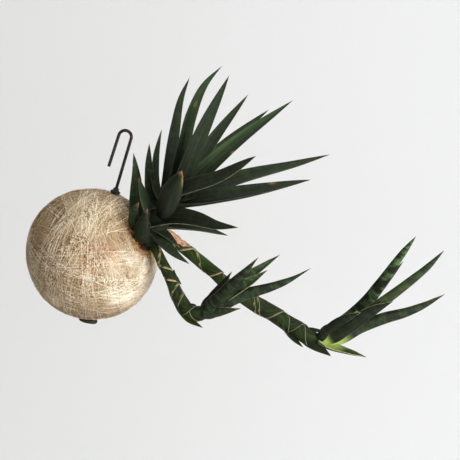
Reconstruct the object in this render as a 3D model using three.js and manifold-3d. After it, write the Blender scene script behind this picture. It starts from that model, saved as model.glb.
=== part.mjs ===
// A kokedama: a ball of soil wound in pale thread and hung on a wire hook, with a leafy crown and
// two scale-clad runners that each end in a small rosette of leaves.
// Millimetres, +Z up, the camera of the photograph looks along +Y.
// The origin is the inside of the hook's bend, where the ball hangs.

import * as THREE from "three";
import { mergeVertices } from "three/addons/utils/BufferGeometryUtils.js";
import Module from "manifold-3d";

const CLEARANCE = 0.32;

// Ball
const BALL_CENTRE = [-28.5, 19, -99.6];
const BALL_RADIUS = 54.1;
const WRAP_THICKNESS = 2.2;
const WINDING_RELIEF = 0.7;
const WINDING_WIDTH = 0.085;
const WINDINGS = 15;
const CROWN_OPENING_RADIUS = 14.5;

// Wire hook: the shank leans right and towards the camera, the short leg runs down on the left
const WIRE_RADIUS = 1.3;
const BEND_RADIUS = 5.2;
const SHANK_LEAN = 17;
const BURIED_LEAN = 12.5;
const SHORT_LEG_LEAN = 18.5;
const HOOK_TIP_FORWARD = 8.5;
const WIRE_HOLE_PLAY = 0.4;
const SHORT_LEG_LENGTH = 27.5;

// Collar and plate on the wire
const COLLAR_RADIUS = 4.1;
const COLLAR_HEIGHT = 2.4;
const COLLAR_NECK_RADIUS = 2.5;
const COLLAR_NECK_HEIGHT = 4.6;
const PLATE_RADIUS = 8.6;
const PLATE_THICKNESS = 2.8;

// Leaf sections
const LEAF_EDGE = 0.7;
const LEAF_RIB_SHARE = 0.17;
const LEAF_CHANNEL_SHARE = 0.17;
const LONG_LEAF_STATIONS = [0, 0.18, 0.37, 0.55, 0.72, 0.86, 0.95];
const SHORT_LEAF_STATIONS = [0, 0.28, 0.55, 0.78, 0.93];
const LONG_LEAF = 60;
const LEAF_TAPER_POWER = 2.2;

// Crown stem, from inside the ball upwards
const CROWN_STEM = [
  { at: [2, 5, -91], radius: 8 },
  { at: [18, -7, -85], radius: 10.5 },
  { at: [25, -10, -77], radius: 10 },
  { at: [32, -13, -67], radius: 8.5 },
  { at: [37, -14, -57], radius: 6.5 },
  { at: [41, -14, -47], radius: 4 },
];
const CROWN_AXIS = [0.45, -0.55, 0.7];

// Crown leaves: points of each midrib from root to tip, and the widest breadth
const CROWN_LEAVES = [
  { rib: [[34, -5, -48], [40, 15, 3], [46, 26, 30], [53, 34, 49]], width: 12 },
  { rib: [[39, -14, -51], [47, -19, -16], [54, -23, 12], [65, -26, 35], [80, -27, 51]], width: 13 },
  { rib: [[42, -19, -53], [63, -33, -6], [86, -46, 42]], width: 14 },
  { rib: [[44, -7, -52], [70, 13, -8], [102, 34, 35]], width: 12.5 },
  { rib: [[42, -17, -54], [88, -24, -12], [137, -31, 24]], width: 15 },
  { rib: [[41, -5, -53], [81, 19, -12], [120, 44, 22]], width: 12.5 },
  {
    rib: [[39, -20, -54], [50, -31, -48], [78, -47, -38], [106, -69, -23]],
    width: 14,
    facing: [0, -0.8, 0.6],
  },
  { rib: [[40, -13, -56], [102, -7, -34], [169, -1, -18]], width: 14.5 },
  { rib: [[39, -19, -59], [94, -27, -50], [150, -36, -40]], width: 16.5 },
  {
    rib: [[21, -15, -74], [39, -23, -69], [58, -29, -70], [75, -35, -74], [92, -41, -77]],
    width: 17,
    facing: [-0.1, -0.8, 0.5],
  },
  { rib: [[27, -9, -75], [56, -5, -75], [84, -1, -84]], width: 13 },
  { rib: [[34, -12, -63], [27, -3, -50], [25, 13, -22], [28, 31, 5]], width: 9 },
  { rib: [[31, -12, -69], [22, -3, -56], [19, 1, -31], [20, 5, -8]], width: 9.5 },
  { rib: [[16, -6, -80], [8, -3, -66], [6, 1, -52], [6, 4, -35], [6, 7, -16]], width: 12.5 },
  { rib: [[23, -15, -77], [17, -18, -59], [12, -16, -37]], width: 11 },
  { rib: [[32, -18, -68], [37, -41, -51], [48, -59, -34]], width: 19 },
  {
    rib: [[13, -15, -82], [7, -23, -75], [7, -25, -67], [13, -26, -58]],
    width: 12,
    facing: [0.5, 0.6, 0.4],
  },
  {
    rib: [[18, -16, -86], [15, -25, -80], [16, -31, -71], [20, -34, -63]],
    width: 12,
    facing: [0.3, 0.8, 0.4],
  },
  { rib: [[20, -14, -76], [30, -23, -83], [40, -28, -92], [54, -31, -107]], width: 12 },
  { rib: [[26, -11, -78], [37, -15, -85], [48, -17, -94]], width: 9 },
  { rib: [[39, -9, -57], [63, 29, -47], [88, 64, -38]], width: 13 },
  { rib: [[39, -9, -52], [52, 27, -27], [62, 64, 0]], width: 12.5 },
  { rib: [[29, -7, -69], [44, 23, -68], [60, 54, -72]], width: 12.5 },
  { rib: [[31, -11, -69], [24, 2, -61], [20, 25, -45], [18, 47, -25]], width: 10.5 },
];

// Old brown leaf bases round the crown's foot
const OLD_BASES = 7;
const OLD_BASE_RING_INNER = 8;
const OLD_BASE_RING_OUTER = 12.8;
const OLD_BASE_RING_HEIGHT = 4.5;
const OLD_BASE_LENGTH = 9;

// The core under a runner's scales, as a share of the runner's radius
const CORE_SHARE = 0.84;

// Short runner, from the crown's foot to its end
const SHORT_RUNNER = [
  { at: [21, -9, -86], radius: 3.5 },
  { at: [27, -12, -97], radius: 3.6 },
  { at: [32, -14, -108], radius: 4.1 },
  { at: [36, -15, -116], radius: 4.4 },
  { at: [40, -16, -124], radius: 4.9 },
  { at: [43, -19, -131], radius: 5.3 },
  { at: [47, -22, -138], radius: 5.9 },
  { at: [52, -25, -145], radius: 6.1 },
  { at: [59, -28, -147], radius: 5.8 },
  { at: [65, -29, -145], radius: 5.5 },
];
const SHORT_RUNNER_SCALES = 7;
const SHORT_RUNNER_FREE_SCALES = [
  { rib: [[44, -22, -135], [52, -27, -150], [64, -31, -157]], width: 10 },
  { rib: [[38, -17, -114], [42, -18, -119], [47, -19, -124]], width: 6 },
];
const SHORT_ROSETTE_STEM = [
  { at: [60, -28, -147], radius: 5.2 },
  { at: [70, -30, -143], radius: 5.6 },
  { at: [79, -31, -134], radius: 4.6 },
  { at: [87, -33, -125], radius: 2.6 },
];
const SHORT_ROSETTE_AXIS = [0.5, -0.6, 0.6];
const SHORT_ROSETTE_LEAVES = [
  { rib: [[68, -31, -145], [89, -37, -123], [108, -41, -102]], width: 12.5 },
  { rib: [[70, -27, -145], [96, -19, -123], [126, -11, -100]], width: 10.5 },
  { rib: [[71, -33, -146], [96, -45, -127], [115, -56, -111]], width: 10.5 },
  { rib: [[69, -31, -148], [109, -32, -129], [150, -33, -111]], width: 10.5 },
  { rib: [[66, -25, -145], [76, -20, -128], [87, -13, -113]], width: 8 },
  { rib: [[66, -31, -149], [80, -37, -145], [96, -41, -142]], width: 9 },
  { rib: [[69, -25, -146], [87, -11, -135], [104, 1, -127]], width: 9 },
];

// Long runner, from the crown's foot to its end
const LONG_RUNNER = [
  { at: [26, -3, -79], radius: 4.6 },
  { at: [34, 5, -86], radius: 4.3 },
  { at: [45, 9, -94], radius: 4.6 },
  { at: [58, 10, -104], radius: 4.9 },
  { at: [71, 10, -115], radius: 4.7 },
  { at: [78, 10, -121], radius: 4.9 },
  { at: [88, 10, -129], radius: 5.5 },
  { at: [99, 10, -136], radius: 6.2 },
  { at: [111, 10, -143], radius: 6.8 },
  { at: [121, 10, -149], radius: 6.4 },
  { at: [132, 10, -156], radius: 6.6 },
  { at: [141, 10, -162], radius: 7 },
  { at: [151, 9, -168], radius: 6.5 },
  { at: [160, 9, -171], radius: 5.8 },
];
const LONG_RUNNER_SCALES = 9;
const LONG_RUNNER_FREE_SCALES = [
  { rib: [[129, 8, -157], [138, 6, -169], [146, 5, -176]], width: 9 },
  { rib: [[147, 8, -167], [158, 6, -179], [169, 5, -183]], width: 11 },
  { rib: [[146, 10, -162], [153, 9, -161], [163, 8, -160]], width: 7 },
];
const LONG_ROSETTE_STEM = [
  { at: [155, 9, -170], radius: 5.4 },
  { at: [167, 8, -169], radius: 6 },
  { at: [179, 8, -160], radius: 5.6 },
  { at: [192, 8, -148], radius: 3.4 },
];
const LONG_ROSETTE_AXIS = [0.52, -0.55, 0.65];
const LONG_ROSETTE_LEAVES = [
  { rib: [[167, 9, -168], [205, 8, -131], [239, 7, -85]], width: 12 },
  { rib: [[169, 15, -169], [206, 25, -136], [234, 34, -105]], width: 10.5 },
  { rib: [[170, 5, -169], [217, -6, -134], [259, -16, -96]], width: 11.5 },
  { rib: [[170, 7, -171], [216, 8, -152], [263, 9, -133]], width: 10 },
  { rib: [[164, 9, -172], [181, 4, -177], [197, -1, -183]], width: 9.5 },
  { rib: [[171, 13, -170], [197, 21, -155], [224, 29, -138]], width: 10 },
  { rib: [[168, 3, -169], [179, -4, -158], [192, -9, -147]], width: 12 },
  { rib: [[169, 15, -169], [192, 31, -160], [216, 43, -153]], width: 9.5 },
];

// Papery bracts on the upper side of the long runner, as shares of its length
const DRY_BRACTS = [
  { from: 0.045, to: 0.125, turn: 10 },
  { from: 0.085, to: 0.165, turn: -12 },
  { from: 0.125, to: 0.205, turn: 6 },
];
const BRACT_THICKNESS = 0.7;
const BRACT_LIFT = 0.6;

const TOWARDS_CAMERA = new THREE.Vector3(0, -1, 0);
const wasm = await Module();
wasm.setup();

function vector(point) {
  return new THREE.Vector3(point[0], point[1], point[2]);
}

// A closed geometry as a solid that can be joined and cut
function solid(geometry) {
  const bare = new THREE.BufferGeometry();
  const plain = geometry.index ? geometry.toNonIndexed() : geometry;
  bare.setAttribute("position", plain.getAttribute("position"));
  const merged = mergeVertices(bare, 1e-4);
  const mesh = new wasm.Mesh({
    numProp: 3,
    vertProperties: Float32Array.from(merged.attributes.position.array),
    triVerts: Uint32Array.from(merged.index.array),
  });
  return new wasm.Manifold(mesh);
}

// The largest piece of a solid, with its scraps and sealed hollows left out
function largest(body) {
  const pieces = body.decompose();
  pieces.sort((a, b) => b.volume() - a.volume());
  return pieces[0];
}

function geometryOf(body) {
  const mesh = body.getMesh();
  const geometry = new THREE.BufferGeometry();
  const positions = new Float32Array(mesh.numVert * 3);
  for (let i = 0; i < mesh.numVert; i += 1) {
    for (let axis = 0; axis < 3; axis += 1) {
      positions[3 * i + axis] = mesh.vertProperties[mesh.numProp * i + axis];
    }
  }
  geometry.setAttribute("position", new THREE.BufferAttribute(positions, 3));
  geometry.setIndex(new THREE.BufferAttribute(Uint32Array.from(mesh.triVerts), 1));
  const flat = geometry.toNonIndexed();
  flat.computeVertexNormals();
  return flat;
}

function unite(bodies) {
  return bodies.reduce((joined, body) => joined.add(body));
}

// A closed body through a row of sections, each an outline that runs anticlockwise about the path
function loft(sections, apex) {
  const positions = [];
  const triangles = [];
  const count = sections[0].outline.length;
  for (const { centre, side, up, outline } of sections) {
    for (const [across, over] of outline) {
      const point = centre.clone().addScaledVector(side, across).addScaledVector(up, over);
      positions.push(point.x, point.y, point.z);
    }
  }
  for (let ring = 0; ring + 1 < sections.length; ring += 1) {
    for (let i = 0; i < count; i += 1) {
      const a = ring * count + i;
      const b = ring * count + ((i + 1) % count);
      triangles.push(a, b, b + count, a, b + count, a + count);
    }
  }
  const first = sections[0].outline.map(([x, y]) => new THREE.Vector2(x, y));
  for (const [a, b, c] of THREE.ShapeUtils.triangulateShape(first, [])) {
    triangles.push(c, b, a);
  }
  const base = (sections.length - 1) * count;
  if (apex) {
    positions.push(apex.x, apex.y, apex.z);
    for (let i = 0; i < count; i += 1) {
      triangles.push(base + i, base + ((i + 1) % count), base + count);
    }
  } else {
    const last = sections[sections.length - 1].outline.map(([x, y]) => new THREE.Vector2(x, y));
    for (const [a, b, c] of THREE.ShapeUtils.triangulateShape(last, [])) {
      triangles.push(base + a, base + b, base + c);
    }
  }
  const geometry = new THREE.BufferGeometry();
  geometry.setAttribute("position", new THREE.Float32BufferAttribute(positions, 3));
  geometry.setIndex(triangles);
  return solid(geometry);
}

// Axes across a path: the side, and the direction that faces as nearly as it can towards facing
function axesAt(tangent, facing) {
  const up = facing.clone().addScaledVector(tangent, -facing.dot(tangent)).normalize();
  const side = up.clone().cross(tangent).normalize();
  return { side, up };
}

// A channelled leaf that narrows to a spine, grown by a margin when it is only used to cut
function leaf({ rib, width, facing }, axis, margin = 0) {
  const curve = new THREE.CatmullRomCurve3(rib.map(vector), false, "chordal");
  const stations = curve.getLength() > LONG_LEAF ? LONG_LEAF_STATIONS : SHORT_LEAF_STATIONS;
  const sections = stations.map((share) => {
    const tangent = curve.getTangentAt(share);
    const half = 0.5 * width * Math.pow(1 - Math.pow(share, LEAF_TAPER_POWER), 0.9) + margin;
    const edge = LEAF_CHANNEL_SHARE * half * 2;
    const shelf = 0.16 * edge;
    const keel = Math.max(LEAF_EDGE, LEAF_RIB_SHARE * half * 2) + margin;
    const outline = [
      [-half, edge - LEAF_EDGE - margin],
      [-0.4 * half, shelf - keel],
      [0.4 * half, shelf - keel],
      [half, edge - LEAF_EDGE - margin],
      [half, edge + margin],
      [0.4 * half, shelf + margin],
      [-0.4 * half, shelf + margin],
      [-half, edge + margin],
    ];
    return { centre: curve.getPointAt(share), outline, ...axesAt(tangent, facing ? vector(facing) : axis) };
  });
  const apex = curve.getPointAt(1).addScaledVector(curve.getTangentAt(1), 3 * margin);
  return loft(sections, apex);
}

function leaves(rows, axis, margin = 0) {
  return unite(rows.map((row) => leaf(row, axis, margin)));
}

// A stem of round sections through its listed points
function stem(rows, sides, margin = 0) {
  const points = rows.map(({ at }) => vector(at));
  const sections = rows.map(({ radius }, i) => {
    const before = points[Math.max(i - 1, 0)];
    const after = points[Math.min(i + 1, points.length - 1)];
    const tangent = after.clone().sub(before).normalize();
    const outline = [];
    for (let k = 0; k < sides; k += 1) {
      const angle = (2 * Math.PI * k) / sides;
      outline.push([(radius + margin) * Math.cos(angle), (radius + margin) * Math.sin(angle)]);
    }
    const centre = points[i].clone();
    if (i === points.length - 1) {
      centre.addScaledVector(tangent, margin);
    }
    return { centre, outline, ...axesAt(tangent, TOWARDS_CAMERA) };
  });
  return loft(sections);
}

function radiusAlong(rows, share) {
  const place = Math.min(share, 0.9999) * (rows.length - 1);
  const i = Math.floor(place);
  return THREE.MathUtils.lerp(rows[i].radius, rows[i + 1].radius, place - i);
}

// A pointed scale that clasps a runner: a wedge from its middle that stands a little proud of it
function scale(rows, from, to, turn, margin = 0) {
  const curve = new THREE.CatmullRomCurve3(rows.map(({ at }) => vector(at)));
  const sections = [0, 0.35, 0.7, 1].map((step) => {
    const share = THREE.MathUtils.lerp(from, to, step);
    const radius = radiusAlong(rows, share) + 0.25 + 0.85 * step + margin;
    const clasp = THREE.MathUtils.lerp(150, 14, Math.pow(step, 1.3));
    const spread = THREE.MathUtils.degToRad(clasp) + (1.2 * margin) / radius;
    const outline = [[0, 0]];
    for (let k = 0; k < 7; k += 1) {
      const angle = turn + spread * (k / 3 - 1);
      outline.push([radius * Math.cos(angle), radius * Math.sin(angle)]);
    }
    const tangent = curve.getTangent(share);
    const centre = curve.getPoint(share).addScaledVector(tangent, margin * (2 * step - 1));
    return { centre, outline, ...axesAt(tangent, TOWARDS_CAMERA) };
  });
  return loft(sections);
}

// A runner with its scales spiralling along it and the free tips at its bends
function runner(rows, scaleCount, freeScales, facing, margin = 0) {
  const core = rows.map(({ at, radius }) => ({ at, radius: CORE_SHARE * radius }));
  const bodies = [stem(core, 8, margin)];
  for (let i = 0; i < scaleCount; i += 1) {
    const from = 0.05 + (0.95 * i) / scaleCount;
    const to = Math.min(0.99, from + 1.5 / scaleCount);
    bodies.push(scale(rows, from, to, 2.4 * i, margin));
  }
  bodies.push(leaves(freeScales, facing, margin));
  return unite(bodies);
}

// Places on the wire
function hookFrame() {
  const across = new THREE.Vector3(1, 0, 0);
  const tip = THREE.MathUtils.degToRad(HOOK_TIP_FORWARD);
  const upward = new THREE.Vector3(0, -Math.sin(tip), Math.cos(tip));
  const bendCentre = upward.clone().multiplyScalar(WIRE_RADIUS - BEND_RADIUS);
  return { across, upward, bendCentre };
}

function onBend(degrees, radius = BEND_RADIUS) {
  const { across, upward, bendCentre } = hookFrame();
  const angle = THREE.MathUtils.degToRad(degrees);
  const point = bendCentre.clone().addScaledVector(across, radius * Math.cos(angle));
  return point.addScaledVector(upward, radius * Math.sin(angle));
}

const SHANK_TOP = onBend(-SHANK_LEAN);
const SHANK_DOWN = onBend(-SHANK_LEAN - 90, 1).sub(hookFrame().bendCentre).normalize();

const BURIED_DOWN = onBend(-BURIED_LEAN - 90, 1).sub(hookFrame().bendCentre).normalize();

// Where a line from a point meets a sphere round the ball's centre, on its near and far side
function ballCrossings(start, direction, radius) {
  const centre = vector(BALL_CENTRE).sub(start);
  const along = centre.dot(direction);
  const reach = Math.sqrt(radius * radius - (centre.lengthSq() - along * along));
  const near = start.clone().addScaledVector(direction, along - reach);
  const far = start.clone().addScaledVector(direction, along + reach);
  return { near, far };
}

const COLLAR_SEAT = ballCrossings(SHANK_TOP, SHANK_DOWN, BALL_RADIUS + 0.5).near;
const PLATE_SEAT = ballCrossings(COLLAR_SEAT, BURIED_DOWN, BALL_RADIUS + 0.3).far;

function hookPath() {
  const path = new THREE.CurvePath();
  const legTop = onBend(180 - SHORT_LEG_LEAN);
  const legDown = onBend(270 - SHORT_LEG_LEAN, 1).sub(hookFrame().bendCentre).normalize();
  const legEnd = legTop.clone().addScaledVector(legDown, SHORT_LEG_LENGTH);
  const bend = [];
  for (let i = 0; i <= 12; i += 1) {
    bend.push(onBend(THREE.MathUtils.lerp(180 - SHORT_LEG_LEAN, -SHANK_LEAN, i / 12)));
  }
  const wireEnd = PLATE_SEAT.clone().addScaledVector(BURIED_DOWN, PLATE_THICKNESS + 0.8);
  path.add(new THREE.LineCurve3(legEnd, legTop));
  path.add(new THREE.CatmullRomCurve3(bend));
  path.add(new THREE.LineCurve3(SHANK_TOP, COLLAR_SEAT));
  path.add(new THREE.LineCurve3(COLLAR_SEAT, wireEnd));
  return path;
}

function hookRod() {
  const section = new THREE.Shape();
  section.absarc(0, 0, WIRE_RADIUS, 0, 2 * Math.PI);
  const options = { extrudePath: hookPath(), steps: 44, curveSegments: 4, bevelEnabled: false };
  return solid(new THREE.ExtrudeGeometry(section, options));
}

// A turned piece with its axis along the wire and its lower face at a place on it
function turnedOnWire(profile, place, down, segments) {
  const outline = profile.map(([radius, height]) => new THREE.Vector2(radius, height));
  const geometry = new THREE.LatheGeometry(outline, segments);
  geometry.rotateX(Math.PI / 2);
  const turn = new THREE.Quaternion();
  turn.setFromUnitVectors(new THREE.Vector3(0, 0, 1), down.clone().negate());
  geometry.applyQuaternion(turn);
  geometry.translate(place.x, place.y, place.z);
  return solid(geometry);
}

function topCollar(margin = 0) {
  const bore = WIRE_RADIUS + CLEARANCE - margin;
  const outer = COLLAR_RADIUS + margin;
  const neck = COLLAR_NECK_RADIUS + margin;
  const profile = [
    [bore, -margin],
    [outer - 0.4, -margin],
    [outer, 0.4],
    [outer, COLLAR_HEIGHT + margin - 0.5],
    [outer - 0.7, COLLAR_HEIGHT + margin],
    [neck, COLLAR_HEIGHT + margin + 0.3],
    [neck, COLLAR_NECK_HEIGHT + margin],
    [bore, COLLAR_NECK_HEIGHT + margin],
    [bore, -margin],
  ];
  return turnedOnWire(profile, COLLAR_SEAT, SHANK_DOWN, 18);
}

function bottomPlate(margin = 0) {
  const bore = WIRE_RADIUS + CLEARANCE - margin;
  const outer = PLATE_RADIUS + margin;
  const profile = [
    [bore, -margin],
    [outer - 0.8, -margin],
    [outer, 0.8],
    [outer, PLATE_THICKNESS + margin - 0.5],
    [outer - 0.5, PLATE_THICKNESS + margin],
    [bore, PLATE_THICKNESS + margin],
    [bore, -margin],
  ];
  const under = PLATE_SEAT.clone().addScaledVector(BURIED_DOWN, PLATE_THICKNESS);
  return turnedOnWire(profile, under, BURIED_DOWN, 28);
}

// The cutter of a plain round hole through the ball along the buried wire
function wireHole() {
  const start = COLLAR_SEAT.clone().addScaledVector(BURIED_DOWN, -6);
  const end = PLATE_SEAT.clone().addScaledVector(BURIED_DOWN, 6);
  const bore = WIRE_RADIUS + WIRE_HOLE_PLAY;
  const geometry = new THREE.CylinderGeometry(bore, bore, start.distanceTo(end), 12);
  const turn = new THREE.Quaternion();
  turn.setFromUnitVectors(new THREE.Vector3(0, 1, 0), BURIED_DOWN);
  geometry.applyQuaternion(turn);
  const middle = start.add(end).multiplyScalar(0.5);
  geometry.translate(middle.x, middle.y, middle.z);
  return solid(geometry);
}

function ballSphere(radius, across, down) {
  const geometry = new THREE.SphereGeometry(radius, across, down);
  geometry.rotateX(Math.PI / 2);
  geometry.translate(...BALL_CENTRE);
  return solid(geometry);
}

// A seeded row of numbers from 0 to 1
function seeded(seed) {
  let state = seed;
  return () => {
    state = (state * 16807) % 2147483647;
    return state / 2147483647;
  };
}

// The thread's outer surface: a sphere raised in bands where many turns lie together
function windingSurface() {
  const random = seeded(77);
  const bands = [];
  for (let i = 0; i < WINDINGS; i += 1) {
    const pole = new THREE.Vector3(random() - 0.5, random() - 0.5, random() - 0.5).normalize();
    bands.push({ pole, offset: 0.5 * (random() - 0.5) });
  }
  const geometry = new THREE.SphereGeometry(1, 46, 26);
  geometry.rotateX(Math.PI / 2);
  const position = geometry.getAttribute("position");
  for (let i = 0; i < position.count; i += 1) {
    const direction = new THREE.Vector3().fromBufferAttribute(position, i).normalize();
    let relief = 0;
    for (const { pole, offset } of bands) {
      const away = (direction.dot(pole) - offset) / WINDING_WIDTH;
      relief = Math.max(relief, Math.exp(-away * away));
    }
    const place = direction.multiplyScalar(BALL_RADIUS + WINDING_RELIEF * relief);
    position.setXYZ(i, place.x, place.y, place.z);
  }
  geometry.translate(...BALL_CENTRE);
  return solid(geometry);
}

const CROWN_FOOT = vector(CROWN_STEM[1].at);
const FOOT_DIRECTION = CROWN_FOOT.clone().sub(vector(BALL_CENTRE)).normalize();

// A turned piece about the line from the ball's centre through the crown's foot
function turnedOnFoot(profile, segments) {
  const outline = profile.map(([radius, height]) => new THREE.Vector2(radius, height));
  const geometry = new THREE.LatheGeometry(outline, segments);
  const turn = new THREE.Quaternion();
  turn.setFromUnitVectors(new THREE.Vector3(0, 1, 0), FOOT_DIRECTION);
  geometry.applyQuaternion(turn);
  geometry.translate(...BALL_CENTRE);
  return solid(geometry);
}

function crownOpening() {
  const profile = [
    [0, BALL_RADIUS - 12],
    [CROWN_OPENING_RADIUS, BALL_RADIUS - 12],
    [CROWN_OPENING_RADIUS, BALL_RADIUS + 12],
    [0, BALL_RADIUS + 12],
  ];
  return turnedOnFoot(profile, 20);
}

function oldBases() {
  const floor = BALL_RADIUS - WRAP_THICKNESS - 2;
  const profile = [
    [OLD_BASE_RING_INNER, floor],
    [OLD_BASE_RING_OUTER, floor],
    [OLD_BASE_RING_OUTER, floor + OLD_BASE_RING_HEIGHT],
    [OLD_BASE_RING_INNER, floor + OLD_BASE_RING_HEIGHT + 1],
    [OLD_BASE_RING_INNER, floor],
  ];
  const bodies = [turnedOnFoot(profile, 14)];
  const { side, up } = axesAt(FOOT_DIRECTION, TOWARDS_CAMERA);
  const seat = vector(BALL_CENTRE).addScaledVector(FOOT_DIRECTION, floor + 1);
  const random = seeded(31);
  for (let i = 0; i < OLD_BASES; i += 1) {
    const angle = (2 * Math.PI * i) / OLD_BASES + 0.3 * random();
    const out = side.clone().multiplyScalar(Math.cos(angle)).addScaledVector(up, Math.sin(angle));
    const length = OLD_BASE_LENGTH * (0.75 + 0.5 * random());
    const root = seat.clone().addScaledVector(out, 11.4);
    const middle = root.clone().addScaledVector(FOOT_DIRECTION, 0.55 * length).addScaledVector(out, 0.6);
    const tip = root.clone().addScaledVector(FOOT_DIRECTION, length).addScaledVector(out, 2.2);
    const rib = [root.toArray(), middle.toArray(), tip.toArray()];
    bodies.push(leaf({ rib, width: 7 }, out.clone().negate()));
  }
  return unite(bodies);
}

// A thin papery sheath over the upper side of the long runner, clear of it by a hair
function bract({ from, to, turn }, lift) {
  const curve = new THREE.CatmullRomCurve3(LONG_RUNNER.map(({ at }) => vector(at)));
  const middleTurn = THREE.MathUtils.degToRad(turn);
  const sections = [0, 0.3, 0.6, 0.85, 1].map((step) => {
    const share = THREE.MathUtils.lerp(from, to, step);
    const inner = radiusAlong(LONG_RUNNER, share) + 1.5 + lift * step;
    const outer = inner + BRACT_THICKNESS;
    const spread = THREE.MathUtils.degToRad(THREE.MathUtils.lerp(75, 12, Math.pow(step, 1.6)));
    const outline = [];
    for (let k = 0; k < 5; k += 1) {
      const angle = middleTurn + Math.PI / 2 + spread * (k / 2 - 1);
      outline.push([outer * Math.cos(angle), outer * Math.sin(angle)]);
    }
    for (let k = 4; k >= 0; k -= 1) {
      const angle = middleTurn + Math.PI / 2 + spread * (k / 2 - 1);
      outline.push([inner * Math.cos(angle), inner * Math.sin(angle)]);
    }
    const tangent = curve.getTangent(share);
    return { centre: curve.getPoint(share), outline, ...axesAt(tangent, new THREE.Vector3(0, 0, 1)) };
  });
  return loft(sections);
}

function dryBracts() {
  return unite(DRY_BRACTS.map((row) => bract(row, BRACT_LIFT)));
}

const crownAxis = vector(CROWN_AXIS).normalize();
const shortAxis = vector(SHORT_ROSETTE_AXIS).normalize();
const longAxis = vector(LONG_ROSETTE_AXIS).normalize();

function crown(margin = 0) {
  return stem(CROWN_STEM, 12, margin).add(leaves(CROWN_LEAVES, crownAxis, margin));
}

function shortRunner(margin = 0) {
  return runner(SHORT_RUNNER, SHORT_RUNNER_SCALES, SHORT_RUNNER_FREE_SCALES, shortAxis, margin);
}

function longRunner(margin = 0) {
  return runner(LONG_RUNNER, LONG_RUNNER_SCALES, LONG_RUNNER_FREE_SCALES, longAxis, margin);
}

function shortRosette(margin = 0) {
  return stem(SHORT_ROSETTE_STEM, 8, margin).add(leaves(SHORT_ROSETTE_LEAVES, shortAxis, margin));
}

function longRosette(margin = 0) {
  return stem(LONG_ROSETTE_STEM, 8, margin).add(leaves(LONG_ROSETTE_LEAVES, longAxis, margin));
}

const crownCutter = crown(CLEARANCE);
const shortRunnerCutter = shortRunner(CLEARANCE);
const longRunnerCutter = longRunner(CLEARANCE);
const plantCutter = unite([crownCutter, shortRunnerCutter, longRunnerCutter]);
const holeCutter = wireHole();

const crownBody = largest(crown());
const shortRunnerBody = largest(shortRunner().subtract(crownCutter));
const longRunnerBody = largest(longRunner().subtract(crownCutter).subtract(shortRunnerCutter));
const shortRosetteBody = largest(shortRosette().subtract(shortRunnerCutter).subtract(longRunnerCutter));
const longRosetteBody = largest(longRosette().subtract(longRunnerCutter));
const bractsBody = largest(dryBracts().subtract(plantCutter));

const soilRadius = BALL_RADIUS - WRAP_THICKNESS - CLEARANCE;
const soilBody = largest(ballSphere(soilRadius, 26, 16).subtract(holeCutter).subtract(plantCutter));
const oldBasesBody = largest(
  oldBases().subtract(plantCutter).subtract(ballSphere(soilRadius + CLEARANCE, 26, 16)),
);
const wrapInside = ballSphere(BALL_RADIUS - WRAP_THICKNESS, 26, 16);
const wrapBody = largest(
  windingSurface()
    .subtract(wrapInside)
    .subtract(holeCutter)
    .subtract(crownOpening())
    .subtract(plantCutter)
    .subtract(bottomPlate(CLEARANCE))
    .subtract(topCollar(CLEARANCE)),
);

function named(name, body, colour, roughness, metalness = 0) {
  const material = new THREE.MeshStandardMaterial({ color: colour, roughness, metalness });
  const mesh = new THREE.Mesh(geometryOf(body), material);
  mesh.name = name;
  return mesh;
}

const kokedama = new THREE.Group();
kokedama.name = "kokedama";
kokedama.add(named("soil_ball", soilBody, "#4a3626", 0.95));
kokedama.add(named("thread_wrap", wrapBody, "#cdbb98", 0.85));
kokedama.add(named("hook_rod", hookRod(), "#2b221c", 0.5, 0.8));
kokedama.add(named("top_collar", topCollar(), "#3a3226", 0.6, 0.6));
kokedama.add(named("bottom_plate", bottomPlate(), "#29261d", 0.6, 0.5));
kokedama.add(named("crown", crownBody, "#1f3323", 0.45));
kokedama.add(named("crown_old_bases", oldBasesBody, "#4b3029", 0.9));
kokedama.add(named("short_runner", shortRunnerBody, "#3f4f24", 0.55));
kokedama.add(named("short_rosette", shortRosetteBody, "#243c26", 0.45));
kokedama.add(named("long_runner", longRunnerBody, "#41542a", 0.55));
kokedama.add(named("long_rosette", longRosetteBody, "#27422a", 0.45));
kokedama.add(named("dry_bracts", bractsBody, "#c3a588", 0.9));

export default kokedama;
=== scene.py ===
"""A kokedama: a ball wound in pale thread on a wire hook, with a crown of stiff leaves and two runners.

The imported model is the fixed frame. Each operator below models one group of like pieces over it. Tables
and sizes whose names say nothing else are in millimetres, and meshes are in metres.
"""

import math
import random

import bmesh
import bpy
import numpy as np
from mathutils import Matrix, Vector


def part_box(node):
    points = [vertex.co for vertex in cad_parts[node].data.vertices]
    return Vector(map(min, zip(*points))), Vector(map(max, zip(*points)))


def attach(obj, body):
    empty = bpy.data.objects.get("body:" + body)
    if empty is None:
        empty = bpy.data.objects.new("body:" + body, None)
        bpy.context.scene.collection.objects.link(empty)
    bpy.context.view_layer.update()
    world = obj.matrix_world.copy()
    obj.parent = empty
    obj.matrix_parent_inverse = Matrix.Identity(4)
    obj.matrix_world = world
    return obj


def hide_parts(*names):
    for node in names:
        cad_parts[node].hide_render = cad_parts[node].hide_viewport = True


bl_info = {
    "name": "Thread-wound kokedama",
    "version": (1, 0, 0),
    "blender": (4, 5, 0),
    "location": "3D View > Sidebar > Kokedama",
    "description": "Models the thread, wire, leaves and runners of a hanging kokedama",
    "category": "Object",
}

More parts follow.
